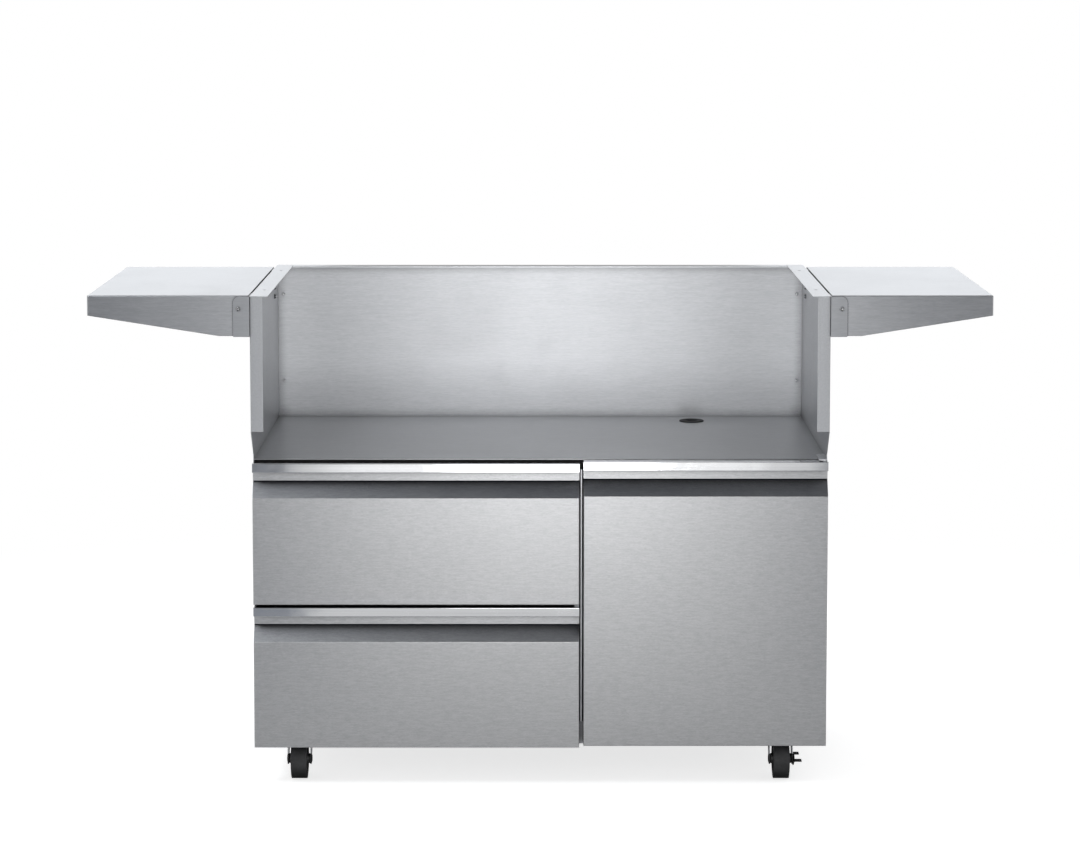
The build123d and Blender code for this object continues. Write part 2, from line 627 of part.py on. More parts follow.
# Right shelf: a pan with aprons that taper from the cabinet to the outer end
def shelf():
    root = SHELF_HEIGHT - SHELF_ROOT
    tip = SHELF_HEIGHT - SHELF_TIP
    outline = [
        (SHELF_X[0], SHELF_HEIGHT),
        (SHELF_X[1], SHELF_HEIGHT),
        (SHELF_X[1], tip),
        (SHELF_X[0] + SHELF_ROOT_FLAT, root),
        (SHELF_X[0], root),
    ]
    pan = prism_y(outline, SHELF_Y)
    pan = round_edges(pan, "Z", [(SHELF_X[1], y) for y in SHELF_Y], SHELF_EDGE_RADIUS)
    top = pan.faces().sort_by(Axis.Z)[-1]
    inner = top.edges().sort_by(Axis.X)[0]
    pan = fillet([edge for edge in top.edges() if edge != inner], SHELF_EDGE_RADIUS)
    pan -= block(
        (SHELF_X[0] - THROUGH, SHELF_X[1] - SHEET),
        (SHELF_Y[0] + SHEET, SHELF_Y[1] - SHEET),
        (root - THROUGH, SHELF_HEIGHT - SHEET),
    )
    for x, y, z in bracket_screw_places():
        pan -= rod_y(SCREW_RADIUS + HOLE_CLEARANCE, x, (y - THROUGH - SHEET, y + THROUGH + SHEET), z)
    return pan


def shelf_end_plate():
    plate = block(
        (SHELF_X[0], SHELF_X[0] + END_PLATE),
        (SHELF_Y[0] + SHEET, SHELF_Y[1] - SHEET),
        (SHELF_HEIGHT - SHELF_ROOT + END_PLATE_LIFT, SHELF_HEIGHT - SHEET),
    )
    for y, z in shelf_bolt_places():
        hole_x = (SHELF_X[0] - THROUGH, SHELF_X[0] + END_PLATE + THROUGH)
        plate -= rod_x(BOLT_RADIUS + HOLE_CLEARANCE, hole_x, y, z)
    return plate


# Right front and rear brackets: a plate over the apron and a flange on the side panel
def shelf_brackets():
    low = SHELF_HEIGHT - SHELF_ROOT - BRACKET_DROP
    outer_x = SIDE_OUT + BRACKET_WIDTH
    corner = [(outer_x, SIDE_TOP)]
    brackets = []
    for edge_y, outward in ((SHELF_Y[0], -1), (SHELF_Y[1], 1)):
        plate_y = sorted((edge_y, edge_y + outward * BRACKET_PLATE))
        plate = block((SIDE_OUT, outer_x), plate_y, (low, SIDE_TOP))
        plate = round_edges(plate, "Y", corner, BRACKET_CORNER_RADIUS)
        flange_y = sorted((edge_y, edge_y - outward * BRACKET_FLANGE))
        plate += block((SIDE_OUT, SIDE_OUT + BRACKET_PLATE), flange_y, (low, SIDE_TOP))
        brackets.append(plate)
    for number, (x, y, z) in enumerate(bracket_screw_places()):
        hole_y = (y - BRACKET_PLATE - THROUGH, y + BRACKET_PLATE + THROUGH)
        brackets[number] -= rod_y(SCREW_RADIUS + HOLE_CLEARANCE, x, hole_y, z)
    for y, z in shelf_bolt_places():
        hole = rod_x(BOLT_RADIUS + HOLE_CLEARANCE, (SIDE_OUT - THROUGH, SHELF_X[0] + THROUGH), y, z)
        brackets = [bracket - hole for bracket in brackets]
    return brackets


# Screws through the right brackets into the aprons
def shelf_screws():
    screws = []
    for (x, y, z), outward in zip(bracket_screw_places(), (-1, 1)):
        face = y + outward * BRACKET_PLATE
        head_y = sorted((face, face + outward * SCREW_HEAD))
        head = rod_y(SCREW_HEAD_RADIUS, x, head_y, z)
        shank_y = sorted((face, face - outward * (BRACKET_PLATE + SHEET + SCREW_TAIL)))
        screws.append(head + rod_y(SCREW_RADIUS, x, shank_y, z))
    return screws


# Bolts through the right side panel, bracket flange and shelf end plate
def shelf_bolts():
    nut_x = SHELF_X[0] + END_PLATE
    bolts = []
    for y, z in shelf_bolt_places():
        bolt = rod_x(BOLT_RADIUS, (SIDE_IN, nut_x + NUT_HEIGHT), y, z)
        bolt += rod_x(BOLT_HEAD_RADIUS, (SIDE_IN - BOLT_HEAD, SIDE_IN), y, z)
        bolt += rod_x(BOLT_HEAD_RADIUS, (nut_x, nut_x + NUT_HEIGHT), y, z)
        bolts.append(bolt)
    return bolts


def back_panel_screws():
    screws = []
    for side in (-1, 1):
        x = side * (SIDE_IN - REAR_FLANGE / 2)
        for z in back_screw_heights():
            head = rod_y(SCREW_HEAD_RADIUS, x, (CARCASS_REAR, CARCASS_REAR + SCREW_HEAD), z)
            screws.append(head + rod_y(SCREW_RADIUS, x, (BACK_INSIDE - SCREW_TAIL, CARCASS_REAR), z))
    return screws


# Rubber rings that line the hose holes in the back panel and the deck
def hose_grommets():
    lips = SHEET / 2 + GROMMET_LIP
    lip_radius = HOSE_HOLE_RADIUS + GROMMET_FLANGE
    ring = Cylinder(HOSE_HOLE_RADIUS, 2 * lips)
    for side in (-1, 1):
        ring += Pos(0, 0, side * (lips - GROMMET_LIP / 2)) * Cylinder(lip_radius, GROMMET_LIP)
    ring -= Cylinder(HOSE_BORE_RADIUS, 2 * (lips + THROUGH))
    in_back = Pos(BAY_MIDDLE + HOSE_OUT, BACK_INSIDE + SHEET / 2, FLOOR_TOP + HOSE_UP) * Rot(90, 0, 0) * ring
    in_deck = Pos(BAY_MIDDLE, BACK_INSIDE - HOSE_FROM_BACK, DECK_UNDER + SHEET / 2) * ring
    return [in_back, in_deck]


def tank_ring():
    middle_y = (CARCASS_FRONT + BACK_INSIDE) / 2
    span_z = (FLOOR_TOP, FLOOR_TOP + TANK_RING_HEIGHT)
    ring = rod_z(TANK_RING_RADIUS + TANK_RING_WALL, BAY_MIDDLE, middle_y, span_z)
    return ring - rod_z(TANK_RING_RADIUS, BAY_MIDDLE, middle_y, span_z)


# Caster plate with the kingpin riveted in it
def caster_plate(x, y):
    half_x, half_y = CASTER_PLATE[0] / 2, CASTER_PLATE[1] / 2
    plate = block((x - half_x, x + half_x), (y - half_y, y + half_y), (PLATE_BOTTOM, CARCASS_BOTTOM))
    head_top = CROWN_BOTTOM - RUN_GAP
    plate += rod_z(KINGPIN_RADIUS, x, y, (head_top, PLATE_BOTTOM))
    plate += rod_z(KINGPIN_HEAD_RADIUS, x, y, (head_top - KINGPIN_HEAD, head_top))
    for bolt_x, bolt_y in caster_bolt_places(x, y):
        hole_z = (PLATE_BOTTOM - THROUGH, CARCASS_BOTTOM + THROUGH)
        plate -= rod_z(BOLT_RADIUS + HOLE_CLEARANCE, bolt_x, bolt_y, hole_z)
    return plate


def caster_bolts(x, y):
    nut_low = CARCASS_BOTTOM + RAIL_SHEET
    bolts = []
    for bolt_x, bolt_y in caster_bolt_places(x, y):
        bolt = rod_z(BOLT_RADIUS, bolt_x, bolt_y, (PLATE_BOTTOM, nut_low + NUT_HEIGHT))
        bolt += rod_z(BOLT_HEAD_RADIUS, bolt_x, bolt_y, (PLATE_BOTTOM - BOLT_HEAD, PLATE_BOTTOM))
        bolt += rod_z(BOLT_HEAD_RADIUS, bolt_x, bolt_y, (nut_low, nut_low + NUT_HEIGHT))
        bolts.append(bolt)
    return bolts


# Swivel fork: a crown with the ball race on it and two legs down to the axle
def caster_fork(x, y):
    axle_y = y - CASTER_TRAIL
    crown_y = (axle_y - FORK_NECK, y + FORK_REAR)
    fork = block((x - LEG_OUT, x + LEG_OUT), crown_y, (CROWN_BOTTOM, CROWN_TOP))
    outline = [
        (axle_y - FORK_EYE_RADIUS, AXLE_Z),
        (axle_y + FORK_EYE_RADIUS, AXLE_Z),
        (crown_y[1], CROWN_TOP),
        (crown_y[0], CROWN_TOP),
    ]
    for side in (-1, 1):
        leg_x = sorted((x + side * LEG_IN, x + side * LEG_OUT))
        fork += prism_x(outline, leg_x) + rod_x(FORK_EYE_RADIUS, leg_x, axle_y, AXLE_Z)
    bends = [(x - LEG_OUT, CROWN_TOP), (x + LEG_OUT, CROWN_TOP)]
    fork = round_edges(fork, "Y", bends, FORK_BEND_RADIUS)
    fork += rod_z(RACE_RADIUS, x, y, (CROWN_TOP, RACE_TOP))
    fork -= rod_z(KINGPIN_RADIUS + PIVOT_CLEARANCE, x, y, (CROWN_BOTTOM - THROUGH, RACE_TOP + THROUGH))
    axle_x = (x - LEG_OUT - THROUGH, x + LEG_OUT + THROUGH)
    return fork - rod_x(AXLE_RADIUS + HOLE_CLEARANCE, axle_x, axle_y, AXLE_Z)


def caster_axle(x, y, braked):
    axle_y = y - CASTER_TRAIL
    far = x + LEG_OUT
    if braked:
        far += LEVER_SHEET + 2 * RUN_GAP
    near = x - LEG_OUT
    axle = rod_x(AXLE_RADIUS, (near, far), axle_y, AXLE_Z)
    axle += rod_x(AXLE_HEAD_RADIUS, (near - AXLE_HEAD, near), axle_y, AXLE_Z)
    return axle + rod_x(AXLE_HEAD_RADIUS, (far, far + AXLE_HEAD), axle_y, AXLE_Z)


def wheel_disc(x, y, radius, width):
    return rod_x(radius, (x - width / 2, x + width / 2), y - CASTER_TRAIL, AXLE_Z)


def caster_wheel(x, y):
    wheel = wheel_disc(x, y, CORE_RADIUS, CORE_WIDTH)
    wheel -= wheel_disc(x, y, CORE_RADIUS - RIM_THICKNESS, CORE_WIDTH)
    wheel += wheel_disc(x, y, CORE_RADIUS - RIM_THICKNESS, WEB_WIDTH)
    wheel += wheel_disc(x, y, HUB_RADIUS, HUB_LENGTH)
    return wheel - wheel_disc(x, y, AXLE_RADIUS + PIVOT_CLEARANCE, HUB_LENGTH)


def caster_tyre(x, y):
    tyre = wheel_disc(x, y, WHEEL_DIAMETER / 2, TYRE_WIDTH)
    tyre = fillet(tyre.edges().filter_by(GeomType.CIRCLE), TYRE_SHOULDER)
    return tyre - wheel_disc(x, y, CORE_RADIUS, TYRE_WIDTH)


# Brake lever on the outer end of an axle: a rocker with a foot pad at each end
def brake_lever(x, y):
    axle_y = y - CASTER_TRAIL
    inner = x + LEG_OUT + RUN_GAP
    plate_x = (inner, inner + LEVER_SHEET)
    pad_half = LEVER_SHEET / 2
    front_z = (AXLE_Z - FRONT_PAD_DROP - pad_half, AXLE_Z - FRONT_PAD_DROP + pad_half)
    rear_z = (AXLE_Z + REAR_PAD_RISE - pad_half, AXLE_Z + REAR_PAD_RISE + pad_half)
    ends = (axle_y - LEVER_REACH, axle_y + LEVER_REACH)
    outline = [
        (ends[0], front_z[0]),
        (axle_y, AXLE_Z - LEVER_TAIL),
        (axle_y + LEVER_EYE_RADIUS, AXLE_Z),
        (ends[1], rear_z[0]),
        (ends[1], rear_z[1]),
        (axle_y, AXLE_Z + LEVER_EYE_RADIUS),
        (ends[0], front_z[1]),
    ]
    lever = prism_x(outline, plate_x) + rod_x(LEVER_EYE_RADIUS, plate_x, axle_y, AXLE_Z)
    lever += block((inner, x + LEG_OUT + FRONT_PAD_REACH), (ends[0], ends[0] + LEVER_PAD_LENGTH), front_z)
    lever += block((inner, x + LEG_OUT + REAR_PAD_REACH), (ends[1] - LEVER_PAD_LENGTH, ends[1]), rear_z)
    return lever - rod_x(AXLE_RADIUS + PIVOT_CLEARANCE, plate_x, axle_y, AXLE_Z)


def cabinet_parts():
    right_side = side_panel()
    right_shelf = shelf()
    end_plate = shelf_end_plate()
    brackets, screws, bolts = shelf_brackets(), shelf_screws(), shelf_bolts()
    return {
        "left_side_panel": mirrored(right_side),
        "right_side_panel": right_side,
        "back_panel": back_panel(),
        "rear_seat_rail": rear_seat_rail(),
        "bottom_panel": bottom_panel(),
        "well_deck": well_deck(),
        "front_top_rail": front_top_rail(),
        "centre_divider": centre_divider(),
        "caster_rails": [caster_rail(middle_y) for middle_y in CASTER_Y],
        "drawer_fixed_runners": fixed_runners(UPPER_Z) + fixed_runners(LOWER_Z),
        "door_hinge_brackets": door_hinge_brackets(),
        "door_magnet": door_magnet(),
        "hose_grommets": hose_grommets(),
        "tank_ring": tank_ring(),
        "left_shelf": mirrored(right_shelf),
        "right_shelf": right_shelf,
        "shelf_end_plates": [end_plate, mirrored(end_plate)],
        "shelf_brackets": brackets + [mirrored(bracket) for bracket in brackets],
        "shelf_screws": screws + [mirrored(screw) for screw in screws],
        "shelf_bolts": bolts + [mirrored(bolt) for bolt in bolts],
        "back_panel_screws": back_panel_screws(),
    }


def drawer_parts(name, front_z):
    return {
        f"{name}_front": front_skin(DRAWER_X, front_z),
        f"{name}_pull": front_pull(DRAWER_X, front_z),
        f"{name}_liner": front_liner(DRAWER_X, front_z),
        f"{name}_box": drawer_box(front_z),
        f"{name}_bumpers": drawer_bumpers(front_z),
        f"{name}_middle_runners": middle_runners(front_z),
        f"{name}_inner_runners": inner_runners(front_z),
    }


def door_parts():
    return {
        "door_front": front_skin(DOOR_X, DOOR_Z) - hinge_notch(),
        "door_pull": door_pull(),
        "door_liner": front_liner(DOOR_X, DOOR_Z) - hinge_notch(),
        "door_pivot_blocks": door_pivot_blocks(),
        "door_strike_plate": door_strike_plate(),
    }


def caster_parts():
    parts = {"caster_plates": [], "caster_bolts": []}
    for name, (x, y) in caster_places().items():
        braked = name.endswith("right")
        parts["caster_plates"].append(caster_plate(x, y))
        parts["caster_bolts"] += caster_bolts(x, y)
        parts[f"{name}_fork"] = caster_fork(x, y)
        parts[f"{name}_axle"] = caster_axle(x, y, braked)
        parts[f"{name}_wheel"] = caster_wheel(x, y)
        parts[f"{name}_tyre"] = caster_tyre(x, y)
        if braked:
            parts[f"{name}_brake_lever"] = brake_lever(x, y)
    return parts


def main():
    os.makedirs("parts", exist_ok=True)
    parts = cabinet_parts()
    parts |= drawer_parts("upper_drawer", UPPER_Z)
    parts |= drawer_parts("lower_drawer", LOWER_Z)
    parts |= door_parts()
    parts |= caster_parts()
    for name, shape in parts.items():
        if isinstance(shape, list):
            shape = Compound([solid for piece in shape for solid in piece.solids()])
        export_step(shape, f"parts/{name}.step")
    print(len(parts), "nodes written")


if __name__ == "__main__":
    main()
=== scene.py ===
import math

import bmesh
import bpy
from mathutils import Matrix, Vector


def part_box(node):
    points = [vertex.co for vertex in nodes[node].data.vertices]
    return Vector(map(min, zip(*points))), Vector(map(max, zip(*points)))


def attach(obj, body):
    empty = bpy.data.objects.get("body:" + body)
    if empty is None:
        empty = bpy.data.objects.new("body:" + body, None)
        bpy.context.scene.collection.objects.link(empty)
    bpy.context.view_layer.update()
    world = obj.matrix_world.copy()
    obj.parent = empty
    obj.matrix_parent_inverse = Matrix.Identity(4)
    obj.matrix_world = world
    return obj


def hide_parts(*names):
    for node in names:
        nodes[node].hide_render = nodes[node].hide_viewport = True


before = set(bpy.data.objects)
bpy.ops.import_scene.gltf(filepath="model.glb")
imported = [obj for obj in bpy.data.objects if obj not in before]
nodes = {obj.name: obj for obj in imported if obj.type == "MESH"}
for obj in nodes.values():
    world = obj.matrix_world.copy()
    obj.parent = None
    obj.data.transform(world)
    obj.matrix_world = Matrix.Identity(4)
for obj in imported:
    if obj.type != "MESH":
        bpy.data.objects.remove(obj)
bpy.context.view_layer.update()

print("frame loaded:", len(nodes), "nodes")


# shader helpers
def setInput(tree, socket, value):
    if isinstance(value, bpy.types.NodeSocket):
        tree.links.new(value, socket)
    else:
        socket.default_value = value


def addNode(tree, kind, values=None, **settings):
    node = tree.nodes.new(kind)
    for key, value in settings.items():
        setattr(node, key, value)
    for key, value in (values or {}).items():
        setInput(tree, node.inputs[key], value)
    return node


def addGroup(tree, group, values):
    return addNode(tree, "ShaderNodeGroup", values, node_tree=group)


def addMath(tree, operation, *values):
    return addNode(tree, "ShaderNodeMath", dict(enumerate(values)), operation=operation).outputs[0]


def addNoise(tree, place, noise):
    return addNode(tree, "ShaderNodeTexNoise", {"Vector": place, **noise}).outputs["Fac"]


def mapRange(tree, value, low, high, toLow=0.0, toHigh=1.0):
    ends = {"Value": value, "From Min": low, "From Max": high, "To Min": toLow, "To Max": toHigh}
    return addNode(tree, "ShaderNodeMapRange", ends).outputs["Result"]


# numbers of the colour sockets on a mix node
mixSockets = {"first": 6, "second": 7, "result": 2}


def mixColour(tree, factor, first, second):
    mix = addNode(tree, "ShaderNodeMix", {"Factor": factor}, data_type="RGBA")
    for key, colour in (("first", first), ("second", second)):
        value = colour if isinstance(colour, bpy.types.NodeSocket) else (*colour, 1)
        setInput(tree, mix.inputs[mixSockets[key]], value)
    return mix.outputs[mixSockets["result"]]


def startGroup(name, inputs, outputs):
    tree = bpy.data.node_groups.new(name, "ShaderNodeTree")
    for label, kind, default in inputs:
        socket = tree.interface.new_socket(label, in_out="INPUT", socket_type="NodeSocket" + kind)
        if default is not None:
            socket.default_value = default
    for label, kind in outputs:
        tree.interface.new_socket(label, in_out="OUTPUT", socket_type="NodeSocket" + kind)
    return tree, tree.nodes.new("NodeGroupInput"), tree.nodes.new("NodeGroupOutput")


# long thin scratches of a belt-ground sheet, fine ones and coarse ones
grainLook = {
    "stretch": (9, 700, 700),
    "fine": {"Scale": 1.0, "Detail": 3.0, "Roughness": 0.7},
    "fineRange": (0.28, 0.72),
    "coarse": {"Scale": 0.31, "Detail": 2.0, "Roughness": 0.6},
    "coarseRange": (0.3, 0.7),
}


def makeGrainGroup(look=grainLook):
    tree, start, end = startGroup(
        "beltGrain", [("Vector", "Vector", None), ("Stretch", "Vector", look["stretch"])],
        [("Streak", "Float"), ("Coarse", "Float")])
    pull = addNode(tree, "ShaderNodeVectorMath", {0: start.outputs["Vector"], 1: start.outputs["Stretch"]},
                   operation="MULTIPLY").outputs[0]
    fine = addNoise(tree, pull, look["fine"])
    coarse = addNoise(tree, pull, look["coarse"])
    tree.links.new(mapRange(tree, fine, *look["fineRange"]), end.inputs["Streak"])
    tree.links.new(mapRange(tree, coarse, *look["coarseRange"]), end.inputs["Coarse"])
    return tree


# softened corners, with a mask of the edges and one of those that look down, on which the materials paint
# highlight and shade lines
edgeLook = {"radius": 0.001, "full": 0.8, "start": 0.995, "downward": (-0.1, -0.3), "tightness": 0.2,
            "samples": 4}


def makeEdgeGroup(look=edgeLook):
    tree, start, end = startGroup(
        "softEdge", [("Radius", "Float", look["radius"]), ("Full", "Float", look["full"])],
        [("PaintedEdge", "Float"), ("PaintedUnderEdge", "Float"), ("Normal", "Vector")])
    wide = addNode(tree, "ShaderNodeBevel", {"Radius": start.outputs["Radius"]}, samples=look["samples"])
    rounded = wide.outputs["Normal"]
    surface = tree.nodes.new("ShaderNodeNewGeometry").outputs["Normal"]
    match = addNode(tree, "ShaderNodeVectorMath", {0: rounded, 1: surface}, operation="DOT_PRODUCT")
    corner = mapRange(tree, match.outputs["Value"], look["start"], start.outputs["Full"])
    upward = addNode(tree, "ShaderNodeSeparateXYZ", {"Vector": rounded}).outputs["Z"]
    under = addMath(tree, "MULTIPLY", corner, mapRange(tree, upward, *look["downward"]))
    tight = addMath(tree, "MULTIPLY", start.outputs["Radius"], look["tightness"])
    softened = addNode(tree, "ShaderNodeBevel", {"Radius": tight}, samples=look["samples"])
    tree.links.new(addMath(tree, "SUBTRACT", corner, under), end.inputs["PaintedEdge"])
    tree.links.new(under, end.inputs["PaintedUnderEdge"])
    tree.links.new(softened.outputs["Normal"], end.inputs["Normal"])
    return tree


# how open a spot is: low in slits and inside corners, where the materials paint shade
cavityLook = {"reach": 0.02, "shut": 0.25, "clear": 0.88, "samples": 8}


def makeCavityGroup(look=cavityLook):
    tree, start, end = startGroup(
        "paintedCavityShade",
        [("Reach", "Float", look["reach"]), ("Shut", "Float", look["shut"]),
         ("Clear", "Float", look["clear"])],
        [("Open", "Float")])
    around = addNode(tree, "ShaderNodeAmbientOcclusion", {"Distance": start.outputs["Reach"]},
                     samples=look["samples"]).outputs["AO"]
    tree.links.new(mapRange(tree, around, start.outputs["Shut"], start.outputs["Clear"]), end.inputs["Open"])
    return tree


# handling marks: broad soft smears
smearLook = {"size": 9.0, "noise": {"Detail": 4.0, "Roughness": 0.62, "Distortion": 1.4},
             "range": (0.42, 0.72)}


def makeSmearGroup(look=smearLook):
    tree, start, end = startGroup(
        "handSmear", [("Vector", "Vector", None), ("Size", "Float", look["size"])], [("Smear", "Float")])
    warp = addNoise(tree, start.outputs["Vector"], {"Scale": start.outputs["Size"], **look["noise"]})
    tree.links.new(mapRange(tree, warp, *look["range"]), end.inputs["Smear"])
    return tree


# fine pitted skin of a moulded piece, with a paler bloom in patches
mouldLook = {
    "pits": 1800.0,
    "pitDetail": 2.0,
    "bloom": {"Scale": 55.0, "Detail": 3.0, "Roughness": 0.6},
    "bloomRange": (0.35, 0.7),
}


def makeMouldGroup(look=mouldLook):
    tree, start, end = startGroup(
        "mouldSkin", [("Vector", "Vector", None), ("Pits", "Float", look["pits"])],
        [("Height", "Float"), ("Bloom", "Float")])
    pits = addNoise(tree, start.outputs["Vector"],
                    {"Scale": start.outputs["Pits"], "Detail": look["pitDetail"]})
    bloom = addNoise(tree, start.outputs["Vector"], look["bloom"])
    tree.links.new(pits, end.inputs["Height"])
    tree.links.new(mapRange(tree, bloom, *look["bloomRange"]), end.inputs["Bloom"])
    return tree


# crystal flakes of zinc plating
def makeSpangleGroup(cells=260.0):
    tree, start, end = startGroup(
        "zincSpangle", [("Vector", "Vector", None), ("Cells", "Float", cells)], [("Flake", "Float")])
    spread = {"Vector": start.outputs["Vector"], "Scale": start.outputs["Cells"]}
    flakes = addNode(tree, "ShaderNodeTexVoronoi", spread, feature="SMOOTH_F1")
    grey = addNode(tree, "ShaderNodeSeparateColor", {"Color": flakes.outputs["Color"]})
    tree.links.new(grey.outputs["Red"], end.inputs["Flake"])
    return tree


beltGrain = makeGrainGroup()
softEdge = makeEdgeGroup()
paintedCavityShade = makeCavityGroup()
handSmear = makeSmearGroup()
mouldSkin = makeMouldGroup()
zincSpangle = makeSpangleGroup()


# material helpers
def startMaterial(name):
    material = bpy.data.materials.new(name)
    material.use_nodes = True
    tree = material.node_tree
    tree.nodes.clear()
    shader = tree.nodes.new("ShaderNodeBsdfPrincipled")
    output = tree.nodes.new("ShaderNodeOutputMaterial")
    tree.links.new(shader.outputs["BSDF"], output.inputs["Surface"])
    return material, tree, shader


def objectPlace(tree):
    return tree.nodes.new("ShaderNodeTexCoord").outputs["Object"]


def fillShader(tree, shader, values):
    for key, value in values.items():
        setInput(tree, shader.inputs[key], value)


def addBump(tree, look, height, normal):
    values = {"Strength": look["bump"], "Distance": look["depth"], "Height": height, "Normal": normal}
    return addNode(tree, "ShaderNodeBump", values).outputs["Normal"]


# roughness from the sum of two masks
def sumRoughness(tree, look, first, second):
    return mapRange(tree, addMath(tree, "ADD", first, second), 0.0, 2.0, *look["roughness"])


def smearRoughness(tree, look, smear):
    return mapRange(tree, smear.outputs["Smear"], 0.0, 1.0, *look["roughness"])


# brushed sheet, with painted highlight lines on its edges and painted shade in slits and corners, and how
# single sheets differ
brushedSheet = {
    "dark": (0.40, 0.408, 0.423),
    "light": (0.492, 0.50, 0.515),
    "edge": (0.60, 0.607, 0.618),
    "under": (0.55, 0.557, 0.568),
    "paintedShade": (0.07, 0.071, 0.074),
    "reach": 0.028,
    "shut": 0.05,
    "clear": 0.85,
    "roughness": (0.32, 0.36),
    "bump": 0.05,
    "depth": 0.0003,
    "edgeRadius": 0.0012,
    "edgeFull": 0.8,
    "coarseShare": 0.5,
    "toneRange": (0.25, 1.25),
    "smear": 6.0,
    "along": {"x": (80, 1000, 1000), "y": (1000, 80, 1000), "z": (1000, 1000, 80)},
}
# shelf: painted dark lines on its edges, darkest on those that look down, and painted shade close round the
# brackets and screws
shelfSheet = dict(brushedSheet, edge=(0.30, 0.305, 0.315), under=(0.08, 0.081, 0.084), edgeRadius=0.0018,
                  reach=0.004, shut=0.5, clear=0.95)
# brackets: a darker copy of the shelf steel, painted shade
bracketShadedSheet = dict(shelfSheet, dark=(0.36, 0.368, 0.383), light=(0.41, 0.418, 0.433),
                    edge=(0.42, 0.428, 0.443))
# fronts: painted bright lines on their edges and painted shade in the finger recesses, more of it on the
# slopes
frontSheet = dict(brushedSheet, dark=(0.389, 0.393, 0.401), light=(0.511, 0.515, 0.523),
                  edge=(0.92, 0.924, 0.93), under=(0.62, 0.626, 0.636), paintedShade=(0.06, 0.062, 0.068),
                  reach=0.065, shut=0.66, clear=0.95, wall=(0.41, 0.6), slope=(0.1, 0.4), edgeFull=0.965,
                  coarseShare=0.6, along={"x": (190, 1150, 1150)})
# deck: painted black lines on its edges, standing for a shadow gap
deckSheet = dict(brushedSheet, edge=(0.05, 0.05, 0.052))
dividerSheet = dict(brushedSheet, reach=0.002)


# painted shade: the sloped faces of the fronts take it sooner than their upright walls
def addCavity(tree, look):
    shut, clear = look["shut"], look["clear"]
    if "wall" in look:
        facing = tree.nodes.new("ShaderNodeTexCoord").outputs["Normal"]
        upward = addNode(tree, "ShaderNodeSeparateXYZ", {"Vector": facing}).outputs["Z"]
        shut = mapRange(tree, upward, *look["slope"], look["wall"][0], shut)
        clear = mapRange(tree, upward, *look["slope"], look["wall"][1], clear)
    return addGroup(tree, paintedCavityShade, {"Reach": look["reach"], "Shut": shut, "Clear": clear})


def makeBrushed(name, along, look=brushedSheet):
    material, tree, shader = startMaterial(name)
    place = objectPlace(tree)
    grain = addGroup(tree, beltGrain, {"Vector": place, "Stretch": look["along"][along]})
    corner = addGroup(tree, softEdge, {"Radius": look["edgeRadius"], "Full": look["edgeFull"]})
    cavity = addCavity(tree, look)
    smear = addGroup(tree, handSmear, {"Vector": place, "Size": look["smear"]})
    streak, coarse = grain.outputs["Streak"], grain.outputs["Coarse"]
    tone = addMath(tree, "MULTIPLY_ADD", coarse, look["coarseShare"], streak)
    colour = mixColour(tree, mapRange(tree, tone, *look["toneRange"]), look["dark"], look["light"])
    # painted lines on the edges and the edges that look down: highlights on most sheets, shade on the shelf
    # and the deck
    colour = mixColour(tree, corner.outputs["PaintedEdge"], colour, look["edge"])
    colour = mixColour(tree, corner.outputs["PaintedUnderEdge"], colour, look["under"])
    fillShader(tree, shader, {
        # painted shade in slits and inside corners
        "Base Color": mixColour(tree, cavity.outputs["Open"], look["paintedShade"], colour),
        "Roughness": sumRoughness(tree, look, coarse, smear.outputs["Smear"]),
        "Normal": addBump(tree, look, streak, corner.outputs["Normal"]),
        "Metallic": 1.0,
    })
    return material


# polished pull strip, with painted highlights on its edges and painted shade on the edges that look down
polishedStrip = {
    "dark": (0.64, 0.648, 0.662),
    "light": (0.70, 0.708, 0.722),
    "edge": (0.90, 0.905, 0.912),
    "under": (0.14, 0.142, 0.146),
    "roughness": (0.07, 0.14),
    "bump": 0.02,
    "depth": 0.0002,
    "edgeRadius": 0.0012,
    "smear": 16.0,
    "stretch": (5, 480, 480),
}


def makePolished(name, look=polishedStrip):
    material, tree, shader = startMaterial(name)
    place = objectPlace(tree)
    grain = addGroup(tree, beltGrain, {"Vector": place, "Stretch": look["stretch"]})
    corner = addGroup(tree, softEdge, {"Radius": look["edgeRadius"]})
    smear = addGroup(tree, handSmear, {"Vector": place, "Size": look["smear"]})
    colour = mixColour(tree, grain.outputs["Coarse"], look["dark"], look["light"])
    # painted highlight on the edges, painted shade on those that look down
    colour = mixColour(tree, corner.outputs["PaintedEdge"], colour, look["edge"])
    fillShader(tree, shader, {
        "Base Color": mixColour(tree, corner.outputs["PaintedUnderEdge"], colour, look["under"]),
        "Roughness": smearRoughness(tree, look, smear),
        "Normal": addBump(tree, look, grain.outputs["Streak"], corner.outputs["Normal"]),
        "Metallic": 1.0,
    })
    return material


# zinc plate of runners, rails and casters, with painted highlights on its edges
zincLook = {
    "dark": (0.50, 0.507, 0.525),
    "light": (0.66, 0.666, 0.678),
    "edge": (0.80, 0.805, 0.81),
    "roughness": (0.26, 0.44),
    "edgeRadius": 0.0006,
    "cells": 240.0,
    "smear": 30.0,
}


